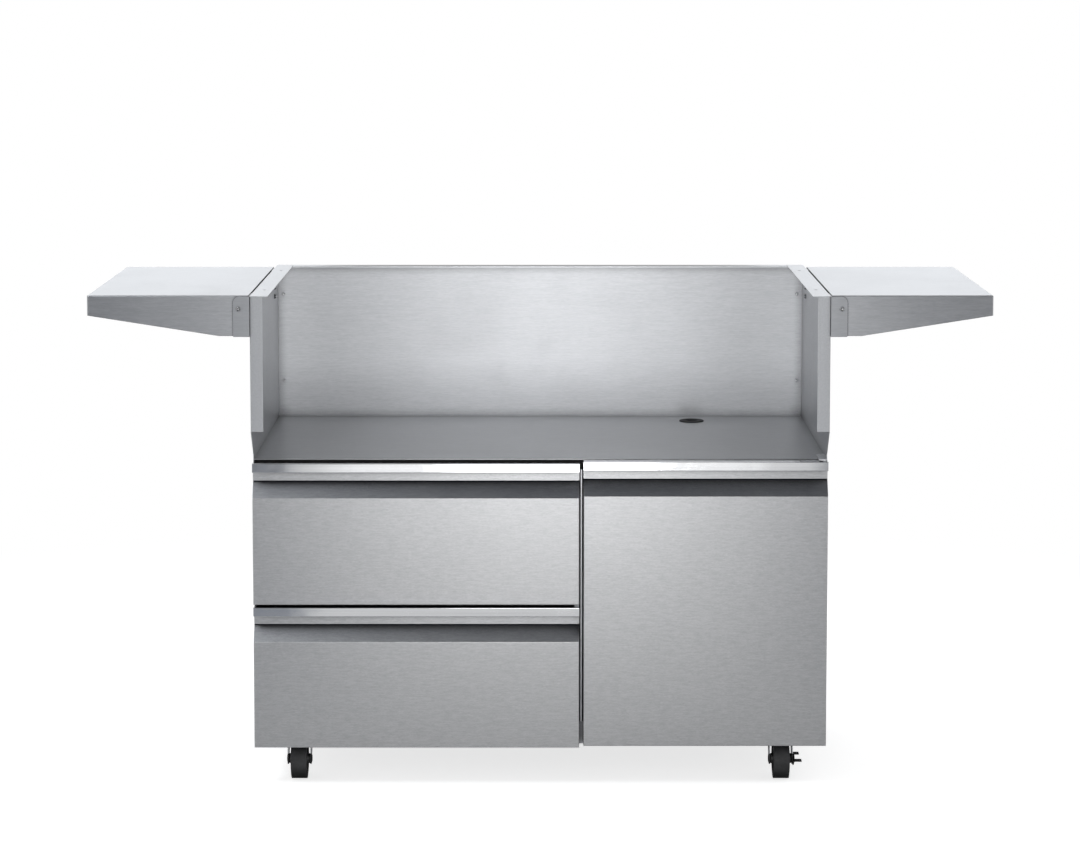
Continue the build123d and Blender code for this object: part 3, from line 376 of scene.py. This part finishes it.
def makeZinc(name, look=zincLook):
    material, tree, shader = startMaterial(name)
    place = objectPlace(tree)
    flake = addGroup(tree, zincSpangle, {"Vector": place, "Cells": look["cells"]}).outputs["Flake"]
    corner = addGroup(tree, softEdge, {"Radius": look["edgeRadius"]})
    smear = addGroup(tree, handSmear, {"Vector": place, "Size": look["smear"]})
    colour = mixColour(tree, flake, look["dark"], look["light"])
    fillShader(tree, shader, {
        # painted highlight on the edges
        "Base Color": mixColour(tree, corner.outputs["PaintedEdge"], colour, look["edge"]),
        "Roughness": sumRoughness(tree, look, flake, smear.outputs["Smear"]),
        "Normal": corner.outputs["Normal"],
        "Metallic": 1.0,
    })
    return material


# bright turned fasteners, with painted shade in their grooves and round their heads
fastenerLook = {
    "dark": (0.58, 0.585, 0.595),
    "light": (0.74, 0.742, 0.75),
    "paintedShade": (0.05, 0.05, 0.052),
    "reach": 0.003,
    "shut": 0.5,
    "clear": 0.98,
    "roughness": (0.2, 0.34),
    "smear": 140.0,
    "stretch": (900, 900, 900),
}


def makeFastener(name, look=fastenerLook):
    material, tree, shader = startMaterial(name)
    place = objectPlace(tree)
    grain = addGroup(tree, beltGrain, {"Vector": place, "Stretch": look["stretch"]})
    cavity = addCavity(tree, look)
    smear = addGroup(tree, handSmear, {"Vector": place, "Size": look["smear"]})
    colour = mixColour(tree, grain.outputs["Coarse"], look["dark"], look["light"])
    fillShader(tree, shader, {
        # painted shade in grooves and slits
        "Base Color": mixColour(tree, cavity.outputs["Open"], look["paintedShade"], colour),
        "Roughness": smearRoughness(tree, look, smear),
        "Metallic": 1.0,
    })
    return material


# black mouldings and the black coat, with painted shade in their hollows; the coat also paints the shadow
# gap over the drawers black
blackShared = {"paintedShade": (0.004, 0.004, 0.004), "reach": 0.01, "shut": 0.3, "clear": 0.9, "edgeRadius": 0.0007,
               "depth": 0.0002, "gloss": 0.5}
blackLooks = {
    "blackNylon": {"dark": (0.026, 0.026, 0.028), "light": (0.05, 0.05, 0.053), "roughness": (0.42, 0.58),
                   "pits": 1500.0, "bump": 0.14},
    "blackRubber": {"dark": (0.02, 0.02, 0.02), "light": (0.044, 0.044, 0.044), "roughness": (0.62, 0.8),
                    "pits": 1100.0, "bump": 0.2},
    # tread: painted shade reaching further, darkening its top under the cabinet
    "treadRubber": {"dark": (0.034, 0.034, 0.0362), "light": (0.068, 0.0685, 0.0724),
                    "roughness": (0.55, 0.74), "pits": 800.0, "bump": 0.22, "reach": 0.05},
    "blackCoatAndPaintedShade": {"dark": (0.008, 0.008, 0.0085), "light": (0.016, 0.016, 0.017), "roughness": (0.4, 0.52),
                  "pits": 2200.0, "bump": 0.06, "gloss": 0.12},
}


def makeBlack(name):
    look = dict(blackShared, **blackLooks[name])
    material, tree, shader = startMaterial(name)
    skin = addGroup(tree, mouldSkin, {"Vector": objectPlace(tree), "Pits": look["pits"]})
    corner = addGroup(tree, softEdge, {"Radius": look["edgeRadius"]})
    cavity = addCavity(tree, look)
    bloom = skin.outputs["Bloom"]
    colour = mixColour(tree, bloom, look["dark"], look["light"])
    fillShader(tree, shader, {
        # painted shade in hollows
        "Base Color": mixColour(tree, cavity.outputs["Open"], look["paintedShade"], colour),
        "Roughness": mapRange(tree, bloom, 0.0, 1.0, *look["roughness"]),
        "Normal": addBump(tree, look, skin.outputs["Height"], corner.outputs["Normal"]),
        "Specular IOR Level": look["gloss"],
    })
    return material


finishes = {
    "brushed_steel": makeBrushed("brushedAcross", "x"),
    "polished_steel": makePolished("polishedPull"),
    "zinc_plate": makeZinc("zincPlate"),
    "fastener_steel": makeFastener("turnedSteel"),
    "black_nylon": makeBlack("blackNylon"),
    "black_rubber": makeBlack("blackRubber"),
    "tyre_rubber": makeBlack("treadRubber"),
    "black_coat": makeBlack("blackCoatAndPaintedShade"),
}
brushedDeep = makeBrushed("brushedFrontToBack", "y")
brushedUpright = makeBrushed("brushedUpright", "z", dividerSheet)
brushedShelf = makeBrushed("brushedShelf", "x", shelfSheet)
brushedBracketShaded = makeBrushed("brushedBracketShaded", "x", bracketShadedSheet)
brushedFront = makeBrushed("brushedFront", "x", frontSheet)
brushedDeck = makeBrushed("brushedDeck", "x", deckSheet)

# nodes with a grain or a tone of their own, and with painted highlights and shade; the rail over the drawers
# is painted black for a shadow gap
ownFinishesAndPaintedLight = {
    "left_side_panel": brushedDeep,
    "right_side_panel": brushedDeep,
    "centre_divider": brushedUpright,
    "shelf_end_plates": brushedDeep,
    "left_shelf": brushedShelf,
    "right_shelf": brushedShelf,
    "shelf_brackets": brushedBracketShaded,
    "upper_drawer_front": brushedFront,
    "lower_drawer_front": brushedFront,
    "door_front": brushedFront,
    "well_deck": brushedDeck,
    # painted shadow: the rail is black where a shadow gap stands
    "front_top_rail": finishes["black_coat"],
}
for name, node in nodes.items():
    slotName = node.material_slots[0].material.name
    node.material_slots[0].material = ownFinishesAndPaintedLight.get(name, finishes[slotName])
print("finishes on", len(nodes), "nodes")


# mesh helpers
weldDistance = 1e-6
sharpAngle = 32
axisTurn = {
    "x": Matrix.Rotation(math.radians(90), 4, "Y"),
    "y": Matrix.Rotation(math.radians(-90), 4, "X"),
    "z": Matrix.Identity(4),
}


# box of each separate solid in a node
def solidBoxes(nodeName):
    bm = bmesh.new()
    bm.from_mesh(nodes[nodeName].data)
    bmesh.ops.remove_doubles(bm, verts=bm.verts, dist=weldDistance)
    left = set(bm.verts)
    boxes = []
    while left:
        front = [left.pop()]
        island = []
        while front:
            vert = front.pop()
            island.append(vert.co.copy())
            near = [edge.other_vert(vert) for edge in vert.link_edges]
            near = [other for other in near if other in left]
            left.difference_update(near)
            front.extend(near)
        low = Vector([min(co[i] for co in island) for i in range(3)])
        high = Vector([max(co[i] for co in island) for i in range(3)])
        boxes.append((low, high))
    bm.free()
    return sorted(boxes, key=lambda box: tuple(round(v, 5) for v in box[0]))


def middle(low, high):
    return (low + high) / 2


def bevelEdges(bm, edges, offset, segments):
    bmesh.ops.bevel(bm, geom=edges, offset=offset, offset_type="OFFSET", segments=segments, profile=0.5,
                    affect="EDGES", material=-1, clamp_overlap=True)


def roundCorners(bm, offset, segments=2, sharpest=35):
    limit = math.radians(sharpest)
    sharp = [edge for edge in bm.edges if edge.is_manifold and edge.calc_face_angle() > limit]
    bevelEdges(bm, sharp, offset, segments)


def boxMesh(size):
    bm = bmesh.new()
    bmesh.ops.create_cube(bm, size=1.0)
    bmesh.ops.scale(bm, vec=size, verts=bm.verts)
    return bm


# turns an outline of (along, radius) points about its own axis
def turnOutline(outline, steps, closed=True):
    bm = bmesh.new()
    verts = [bm.verts.new((radius, 0, along)) for along, radius in outline]
    ring = list(zip(verts, verts[1:]))
    if closed:
        ring.append((verts[-1], verts[0]))
    edges = [bm.edges.new(pair) for pair in ring]
    bmesh.ops.spin(bm, geom=verts + edges, cent=(0, 0, 0), axis=(0, 0, 1), dvec=(0, 0, 0),
                   angle=2 * math.pi, steps=steps, use_merge=True, use_duplicate=False)
    bmesh.ops.remove_doubles(bm, verts=bm.verts, dist=weldDistance)
    bmesh.ops.recalc_face_normals(bm, faces=bm.faces)
    return bm


def mirrored(side):
    return [(-along, radius) for along, radius in reversed(side)]


def scaled(shares, length, radius):
    return [(length * along, radius * out) for along, out in shares]


def addTo(piece, bm, place):
    bmesh.ops.transform(bm, matrix=place, verts=bm.verts)
    mesh = bpy.data.meshes.new("part")
    bm.to_mesh(mesh)
    bm.free()
    piece.from_mesh(mesh)
    bpy.data.meshes.remove(mesh)


def finishPiece(name, bm, slotName, body, *replaced):
    mesh = bpy.data.meshes.new(name)
    bm.to_mesh(mesh)
    bm.free()
    mesh.shade_smooth()
    mesh.set_sharp_from_angle(angle=math.radians(sharpAngle))
    piece = bpy.data.objects.new(name, mesh)
    bpy.context.scene.collection.objects.link(piece)
    mesh.materials.append(finishes[slotName])
    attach(piece, body)
    if replaced:
        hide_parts(*replaced)


# domed screws, with a socket or a ring groove; profiles in shares of the head's height and radius
screwLook = {
    "headRadius": 0.0042,
    "headHeight": 0.0024,
    "shankRadius": 0.0022,
    "tipShare": 0.6,
    "tipLength": 0.001,
    "dome": [(0.25, 1), (0.62, 0.82)],
    "crown": [(0.88, 0.52), (1, 0.4)],
    "socketRadius": 0.0013,
    "socket": [(1, 1), (0.4, 1), (0.3, 0)],
    "bossRadius": 0.0013,
    "boss": [(0.15, 1), (0.9, 1), (1, 0.6), (1, 0)],
    "grooveRadius": 0.0033,
    "grooveTop": 0.62,
    "grooveFloor": 0.15,
    "grooveDraft": 0.0002,
    "rounding": 0.0002,
    "steps": 32,
}


def domedScrew(length, socket, look=screwLook):
    radius, height, shank = look["headRadius"], look["headHeight"], look["shankRadius"]
    tail = height - length
    outline = [(tail, 0), (tail, shank * look["tipShare"]), (tail + look["tipLength"], shank), (0, shank),
               (0, radius)]
    outline += scaled(look["dome"], height, radius)
    if socket:
        outline += scaled(look["crown"], height, radius)
        outline += scaled(look["socket"], height, look["socketRadius"])
    else:
        groove = look["grooveRadius"]
        outline += [(height * look["grooveTop"], groove),
                    (height * look["grooveFloor"], groove - look["grooveDraft"])]
        outline += scaled(look["boss"], height, look["bossRadius"])
    bm = turnOutline(outline, look["steps"], closed=False)
    roundCorners(bm, look["rounding"])
    return bm


def makeScrews(name, nodeName, socket, alwaysBack):
    bm = bmesh.new()
    for low, high in solidBoxes(nodeName):
        centre = middle(low, high)
        headBack = alwaysBack or centre.y > 0
        screw = domedScrew(high.y - low.y, socket)
        face = high.y - screwLook["headHeight"] if headBack else low.y + screwLook["headHeight"]
        turn = axisTurn["y"] if headBack else Matrix.Rotation(math.radians(90), 4, "X")
        addTo(bm, screw, Matrix.Translation((centre.x, face, centre.z)) @ turn)
    finishPiece(name, bm, "fastener_steel", "cabinet", nodeName)


makeScrews("bracketScrews", "shelf_screws", socket=False, alwaysBack=False)
makeScrews("backScrews", "back_panel_screws", socket=True, alwaysBack=True)

# hex bolts with flanged heads and nuts
boltLook = {
    "head": 0.004,
    "nut": 0.005,
    "flangeRadius": 0.005,
    "hexRadius": 0.0044,
    "flange": 0.001,
    "shankRadius": 0.003,
    "nutShare": 0.86,
    "tipShare": 0.9,
    "chamfer": 0.0004,
    "chamferShare": 0.3,
    "hexSides": 6,
    "flangeSteps": 32,
    "shankSteps": 24,
}


def hexBolt(length, look=boltLook):
    head, nut, flange = look["head"], look["nut"], look["flange"]
    hexagon = (look["hexRadius"], look["hexSides"])
    disc = (look["flangeRadius"], look["flangeSteps"])
    shank = (look["shankRadius"], look["shankSteps"])
    tip = (look["shankRadius"] * look["tipShare"], look["shankSteps"])
    nutLow = length - head - nut
    hexTop = nutLow + nut * look["nutShare"]
    spans = [(-head, -flange, hexagon), (-flange, 0, disc), (0, nutLow, shank)]
    spans += [(nutLow, nutLow + flange, disc), (nutLow + flange, hexTop, hexagon)]
    spans.append((hexTop, nutLow + nut, tip))
    bm = bmesh.new()
    for low, high, (radius, segments) in spans:
        part = bmesh.new()
        bmesh.ops.create_cone(part, cap_ends=True, segments=segments, radius1=radius, radius2=radius,
                              depth=high - low)
        roundCorners(part, min(look["chamfer"], (high - low) * look["chamferShare"]))
        addTo(bm, part, Matrix.Translation((0, 0, (low + high) / 2)))
    return bm


bm = bmesh.new()
for low, high in solidBoxes("shelf_bolts"):
    centre = middle(low, high)
    outward = 1 if centre.x > 0 else -1
    face = low.x + boltLook["head"] if outward > 0 else high.x - boltLook["head"]
    turn = Matrix.Rotation(math.radians(90 * outward), 4, "Y")
    addTo(bm, hexBolt(high.x - low.x), Matrix.Translation((face, centre.y, centre.z)) @ turn)
finishPiece("shelfBolts", bm, "fastener_steel", "cabinet", "shelf_bolts")

bm = bmesh.new()
for low, high in solidBoxes("caster_bolts"):
    centre = middle(low, high)
    face = low.z + boltLook["head"]
    addTo(bm, hexBolt(high.z - low.z), Matrix.Translation((centre.x, centre.y, face)))
finishPiece("casterBolts", bm, "fastener_steel", "cabinet", "caster_bolts")
print("fasteners done")


# casters
def finishTurned(name, bm, centre, slotName, body, node):
    piece = bmesh.new()
    addTo(piece, bm, Matrix.Translation(centre) @ axisTurn["x"])
    finishPiece(name, piece, slotName, body, node)


tyreLook = {"tread": 0.0148, "shoulder": 0.0312, "bead": 0.029, "beadInset": 0.0014, "beadStep": 0.0016,
            "rounding": 0.0003, "roundSteps": 3, "sharpest": 20, "steps": 96}


def makeTyre(corner, look=tyreLook):
    node = f"{corner}_tyre"
    low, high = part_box(node)
    half = (high.x - low.x) / 2
    radius = (high.z - low.z) / 2
    inset = half - look["beadInset"]
    side = [(inset, coreLook["seat"]), (inset, look["bead"]), (half, look["bead"] + look["beadStep"]),
            (half, look["shoulder"]), (look["tread"], radius)]
    bm = turnOutline(side + mirrored(side), look["steps"])
    roundCorners(bm, look["rounding"], look["roundSteps"], look["sharpest"])
    finishTurned(f"{corner}Tread", bm, middle(low, high), "tyre_rubber", f"{corner}_roller", node)


coreLook = {"bore": 0.00486, "hub": 0.0095, "web": 0.0045, "rimLip": 0.0235, "seat": 0.027, "rimHalf": 0.013,
            "ease": 0.001, "hubFoot": (0.0012, 0.003), "rimFoot": (0.002, 0.0006), "rounding": 0.0004,
            "ribs": 6, "ribThick": 0.0022, "ribHalf": 0.0098, "ribRounding": 0.0005, "steps": 72}


def makeCore(corner, look=coreLook):
    node = f"{corner}_wheel"
    low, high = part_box(node)
    half = (high.x - low.x) / 2
    hub, web, lip, ease = look["hub"], look["web"], look["rimLip"], look["ease"]
    side = [(half, look["bore"]), (half, hub - ease), (half - ease, hub),
            (web + ease, hub + look["hubFoot"][0]), (web, hub + look["hubFoot"][1]),
            (web, lip - look["rimFoot"][0]), (web + ease, lip - look["rimFoot"][1]),
            (look["rimHalf"], lip), (look["rimHalf"], look["seat"])]
    bm = turnOutline(side + mirrored(side), look["steps"])
    roundCorners(bm, look["rounding"])
    reach = lip - hub
    for step in range(look["ribs"]):
        rib = boxMesh((reach, look["ribThick"], 2 * look["ribHalf"]))
        roundCorners(rib, look["ribRounding"])
        spot = Matrix.Translation((hub + reach / 2, 0, 0))
        addTo(bm, rib, Matrix.Rotation(2 * math.pi * step / look["ribs"], 4, "Z") @ spot)
    finishTurned(f"{corner}Core", bm, middle(low, high), "black_nylon", f"{corner}_roller", node)


# riveted axle, its heads in shares of the cap's thickness and radius
axleLook = {"cap": 0.0015, "radius": 0.0048, "dome": [(1, 1), (0.6, 1), (0.2, 0.78), (0, 0.4), (0, 0)],
            "rounding": 0.0003, "steps": 48}


def makeAxle(corner, look=axleLook):
    node = f"{corner}_axle"
    low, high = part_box(node)
    half = (high.x - low.x) / 2
    head = (high.z - low.z) / 2
    side = [(half - look["cap"], look["radius"])]
    side += [(half - sunk, out) for sunk, out in scaled(look["dome"], look["cap"], head)]
    bm = turnOutline(mirrored(side) + side, look["steps"], closed=False)
    roundCorners(bm, look["rounding"])
    finishTurned(f"{corner}Rivet", bm, middle(low, high), "black_coat", f"{corner}_caster", node)


# thread guards: black shoes over the eyes of the fork
guardLook = {"sheet": 0.0021, "lip": 0.0002, "halfDepth": 0.0109, "halfHeight": 0.0102, "corner": 0.0014,
             "cornerSteps": 6, "rim": 0.0003, "lift": 0.001}


def makeGuards(corner, look=guardLook):
    low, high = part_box(f"{corner}_fork")
    axle = middle(*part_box(f"{corner}_tyre"))
    thick = look["sheet"] + 2 * look["lip"]
    piece = bmesh.new()
    for across in (low.x + look["sheet"] / 2, high.x - look["sheet"] / 2):
        shoe = boxMesh((thick, 2 * look["halfDepth"], 2 * look["halfHeight"]))
        corners = [edge for edge in shoe.edges if abs(edge.verts[0].co.x - edge.verts[1].co.x) > thick / 2]
        bevelEdges(shoe, corners, look["corner"], look["cornerSteps"])
        roundCorners(shoe, look["rim"])
        addTo(piece, shoe, Matrix.Translation((across, axle.y, axle.z + look["lift"])))
    finishPiece(f"{corner}Guards", piece, "black_nylon", f"{corner}_caster")


for corner in ("front_left", "front_right", "rear_left", "rear_right"):
    makeTyre(corner)
    makeGuards(corner)
    makeCore(corner)
    makeAxle(corner)
print("casters done")

# grommets for the hose
grommetLook = {"bore": 0.0125, "neck": 0.0199, "flange": 0.025, "sheetHalf": 0.0008,
               "boreLip": (0.72, 0.0009), "flangeLip": (0.7, 0.0014), "rounding": 0.0003, "sharpest": 25,
               "steps": 64}

look = grommetLook
bm = bmesh.new()
for low, high in solidBoxes("hose_grommets"):
    size = high - low
    axis = "y" if size.y < size.z else "z"
    half = min(size.y, size.z) / 2
    side = [(half * look["boreLip"][0], look["bore"]), (half, look["bore"] + look["boreLip"][1]),
            (half, look["flange"] - look["flangeLip"][1]), (half * look["flangeLip"][0], look["flange"]),
            (look["sheetHalf"], look["flange"]), (look["sheetHalf"], look["neck"])]
    ring = turnOutline(side + mirrored(side), look["steps"])
    roundCorners(ring, look["rounding"], sharpest=look["sharpest"])
    addTo(bm, ring, Matrix.Translation(middle(low, high)) @ axisTurn[axis])
finishPiece("hoseGrommets", bm, "black_rubber", "cabinet", "hose_grommets")

# domed bumpers behind the drawer fronts, in shares of their length and radius
bumperLook = {"dome": [(0, 0), (0, 1), (0.35, 1), (0.72, 0.86), (0.93, 0.55), (1, 0.2), (1, 0)], "steps": 32}

for drawer in ("upper_drawer", "lower_drawer"):
    bm = bmesh.new()
    for low, high in solidBoxes(f"{drawer}_bumpers"):
        outline = scaled(bumperLook["dome"], high.y - low.y, (high.x - low.x) / 2)
        dome = turnOutline(outline, bumperLook["steps"], closed=False)
        centre = middle(low, high)
        addTo(bm, dome, Matrix.Translation((centre.x, low.y, centre.z)) @ axisTurn["y"])
    finishPiece(f"{drawer}Bumpers", bm, "black_rubber", drawer, f"{drawer}_bumpers")
print("rubber done")


# rays that look straight at the stage, and those together with rays that see it in steel
def seenRays(tree):
    path = tree.nodes.new("ShaderNodeLightPath")
    straight = path.outputs["Is Camera Ray"]
    return straight, addMath(tree, "MAXIMUM", straight, path.outputs["Is Glossy Ray"])


def stageObject(name, bm, material):
    mesh = bpy.data.meshes.new(name)
    bm.to_mesh(mesh)
    bm.free()
    mesh.materials.append(material)
    placed = bpy.data.objects.new(name, mesh)
    bpy.context.scene.collection.objects.link(placed)
    return placed


# floor: pale, with the object's shadow, white further out
white = (1, 1, 1, 1)
floorLook = {"radius": 14.0, "segments": 96, "colour": (0.80, 0.80, 0.80), "lift": 0.72, "mirrorFar": 0.86,
             "nearEnd": 1.1, "farStart": 2.6}

floorMaterial = bpy.data.materials.new("paleFloor")
floorMaterial.use_nodes = True
tree = floorMaterial.node_tree
tree.nodes.clear()
straight, seen = seenRays(tree)
distance = addNode(tree, "ShaderNodeVectorMath", {0: objectPlace(tree)}, operation="LENGTH").outputs["Value"]
far = addNode(tree, "ShaderNodeMapRange",
              {"Value": distance, "From Min": floorLook["nearEnd"], "From Max": floorLook["farStart"]},
              interpolation_type="SMOOTHSTEP").outputs["Result"]
matte = addNode(tree, "ShaderNodeBsdfDiffuse", {"Color": (*floorLook["colour"], 1)})
lift = addMath(tree, "MULTIPLY", straight, floorLook["lift"])
glow = addNode(tree, "ShaderNodeEmission", {"Color": white, "Strength": lift})
nearFloor = addNode(tree, "ShaderNodeAddShader", {0: matte.outputs[0], 1: glow.outputs[0]})
paleness = mapRange(tree, straight, 0.0, 1.0, floorLook["mirrorFar"], 1.0)
farFloor = addNode(tree, "ShaderNodeEmission", {"Color": white, "Strength": paleness})
blend = addNode(tree, "ShaderNodeMixShader",
                {0: addMath(tree, "MULTIPLY", seen, far), 1: nearFloor.outputs[0], 2: farFloor.outputs[0]})
addNode(tree, "ShaderNodeOutputMaterial", {"Surface": blend.outputs[0]})

bm = bmesh.new()
bmesh.ops.create_circle(bm, cap_ends=True, segments=floorLook["segments"], radius=floorLook["radius"])
floor = stageObject("floor", bm, floorMaterial)

# world: white where it is seen, softer as light, dimmer overhead where steel shows it
worldLook = {"seen": 1.0, "mirrored": 0.7, "light": 0.42, "ceiling": 0.36, "ceilingRange": (0.25, 0.6)}

world = bpy.data.worlds.new("studio")
world.use_nodes = True
tree = world.node_tree
tree.nodes.clear()
direction = tree.nodes.new("ShaderNodeTexCoord").outputs["Generated"]
height = addNode(tree, "ShaderNodeSeparateXYZ", {"Vector": direction}).outputs["Z"]
overhead = mapRange(tree, height, *worldLook["ceilingRange"], worldLook["mirrored"], worldLook["ceiling"])
straight, seen = seenRays(tree)
shown = mapRange(tree, straight, 0.0, 1.0, overhead, worldLook["seen"])
strength = mapRange(tree, seen, 0.0, 1.0, worldLook["light"], shown)
backdrop = addNode(tree, "ShaderNodeBackground", {"Color": white, "Strength": strength})
addNode(tree, "ShaderNodeOutputWorld", {"Surface": backdrop.outputs[0]})
bpy.context.scene.world = world

# lamps
plain = (1, 1, 1)
cool = (0.92, 0.955, 1.0)
lamps = {
    "topSoftbox": {"at": (0.0, 0.4, 3.4), "aim": (0.0, 0.0, 0.0), "size": (2.6, 1.6), "power": 12,
                   "colour": plain},
    "keySoftbox": {"at": (-1.8, -1.9, 2.95), "aim": (0.0, 0.0, 0.5), "size": (0.7, 0.9), "power": 27,
                   "colour": cool},
    "frontPanel": {"at": (0.02, -3.4, 0.95), "aim": (0.02, 0.0, 0.75), "size": (1.24, 1.9), "power": 3.0,
                   "colour": plain},
    "centrePanel": {"at": (0.03, -3.36, 0.95), "aim": (0.03, 0.0, 0.75), "size": (0.58, 1.9), "power": 12.4,
                    "colour": plain},
    "rearLeft": {"at": (-1.6, 2.6, 1.6), "aim": (-1.6, 0.0, 0.95), "size": (2.0, 1.0), "power": 7.2,
                 "colour": cool},
    "rearRight": {"at": (1.6, 2.6, 1.6), "aim": (1.6, 0.0, 0.95), "size": (2.0, 1.0), "power": 7.2,
                  "colour": cool},
}
for name, lamp in lamps.items():
    data = bpy.data.lights.new(name, "AREA")
    data.shape = "RECTANGLE"
    data.size, data.size_y = lamp["size"]
    data.energy = lamp["power"]
    data.color = lamp["colour"]
    light = bpy.data.objects.new(name, data)
    light.location = lamp["at"]
    aim = Vector(lamp["aim"]) - Vector(lamp["at"])
    light.rotation_euler = aim.to_track_quat("-Z", "Y").to_euler()
    light.visible_camera = False
    bpy.context.scene.collection.objects.link(light)

# grey cards at both sides, upright and along the floor, keep the ends of the steel from going flat white,
# and a dark flag over the front keeps the finger recesses deep
cardLook = {
    "inner": {-1: 0.70, 1: 0.79},
    "upperInner": {-1: 0.50, 1: 0.58},
    "outer": 2.1,
    "near": -1.2,
    "narrowing": 0.22,
    "depth": -3.2,
    "step": 0.4,
    "height": 1.5,
    "lift": 0.004,
    "colour": (0.346, 0.364, 0.402),
    "upperColour": (0.215, 0.23, 0.26),
    "roughness": 0.9,
}
flagLook = {"half": 1.4, "near": -0.8, "far": -2.3, "height": 3.0, "colour": (0.036, 0.047, 0.085)}


def makeCard(name, colour, sheets):
    material, tree, shader = startMaterial(name)
    fillShader(tree, shader, {"Base Color": (*colour, 1), "Roughness": cardLook["roughness"]})
    bm = bmesh.new()
    for corners in sheets:
        bm.faces.new([bm.verts.new(corner) for corner in corners])
    card = stageObject(name, bm, material)
    card.visible_camera = False
    card.visible_diffuse = False
    card.visible_shadow = False


def uprightSheet(inner, outer, low, high):
    depth = cardLook["depth"]
    return [(inner, depth, low), (outer, depth, low), (outer, depth, high), (inner, depth, high)]


look = cardLook
for side, name in ((-1, "leftCard"), (1, "rightCard")):
    inner, outer = side * look["inner"][side], side * look["outer"]
    upper = uprightSheet(side * look["upperInner"][side], outer, look["step"], look["height"])
    nearInner = inner - side * look["narrowing"]
    flat = [(inner, look["depth"], look["lift"]), (outer, look["depth"], look["lift"]),
            (outer, look["near"], look["lift"]), (nearInner, look["near"], look["lift"])]
    makeCard(name, look["colour"], [uprightSheet(inner, outer, 0, look["step"]), flat])
    makeCard(name + "Upper", look["upperColour"], [upper])
half, near, far, height = (flagLook[key] for key in ("half", "near", "far", "height"))
makeCard("overheadFlag", flagLook["colour"],
         [[(-half, near, height), (half, near, height), (half, far, height), (-half, far, height)]])
print("stage lit")

# camera
cameraLook = {"at": (-0.0004, -6.3145, 1.5392), "pitch": 5.82, "lens": 108.14, "shift": -0.12,
              "sensor": 36.0, "clipEnd": 60.0}

data = bpy.data.cameras.new("camera")
data.sensor_width = cameraLook["sensor"]
data.lens = cameraLook["lens"]
data.shift_y = cameraLook["shift"]
data.clip_end = cameraLook["clipEnd"]
camera = bpy.data.objects.new("camera", data)
camera.location = cameraLook["at"]
camera.rotation_euler = (math.radians(90 - cameraLook["pitch"]), 0, 0)
bpy.context.scene.collection.objects.link(camera)
bpy.context.scene.camera = camera
bpy.context.scene.view_settings.view_transform = "Standard"
print("camera set")
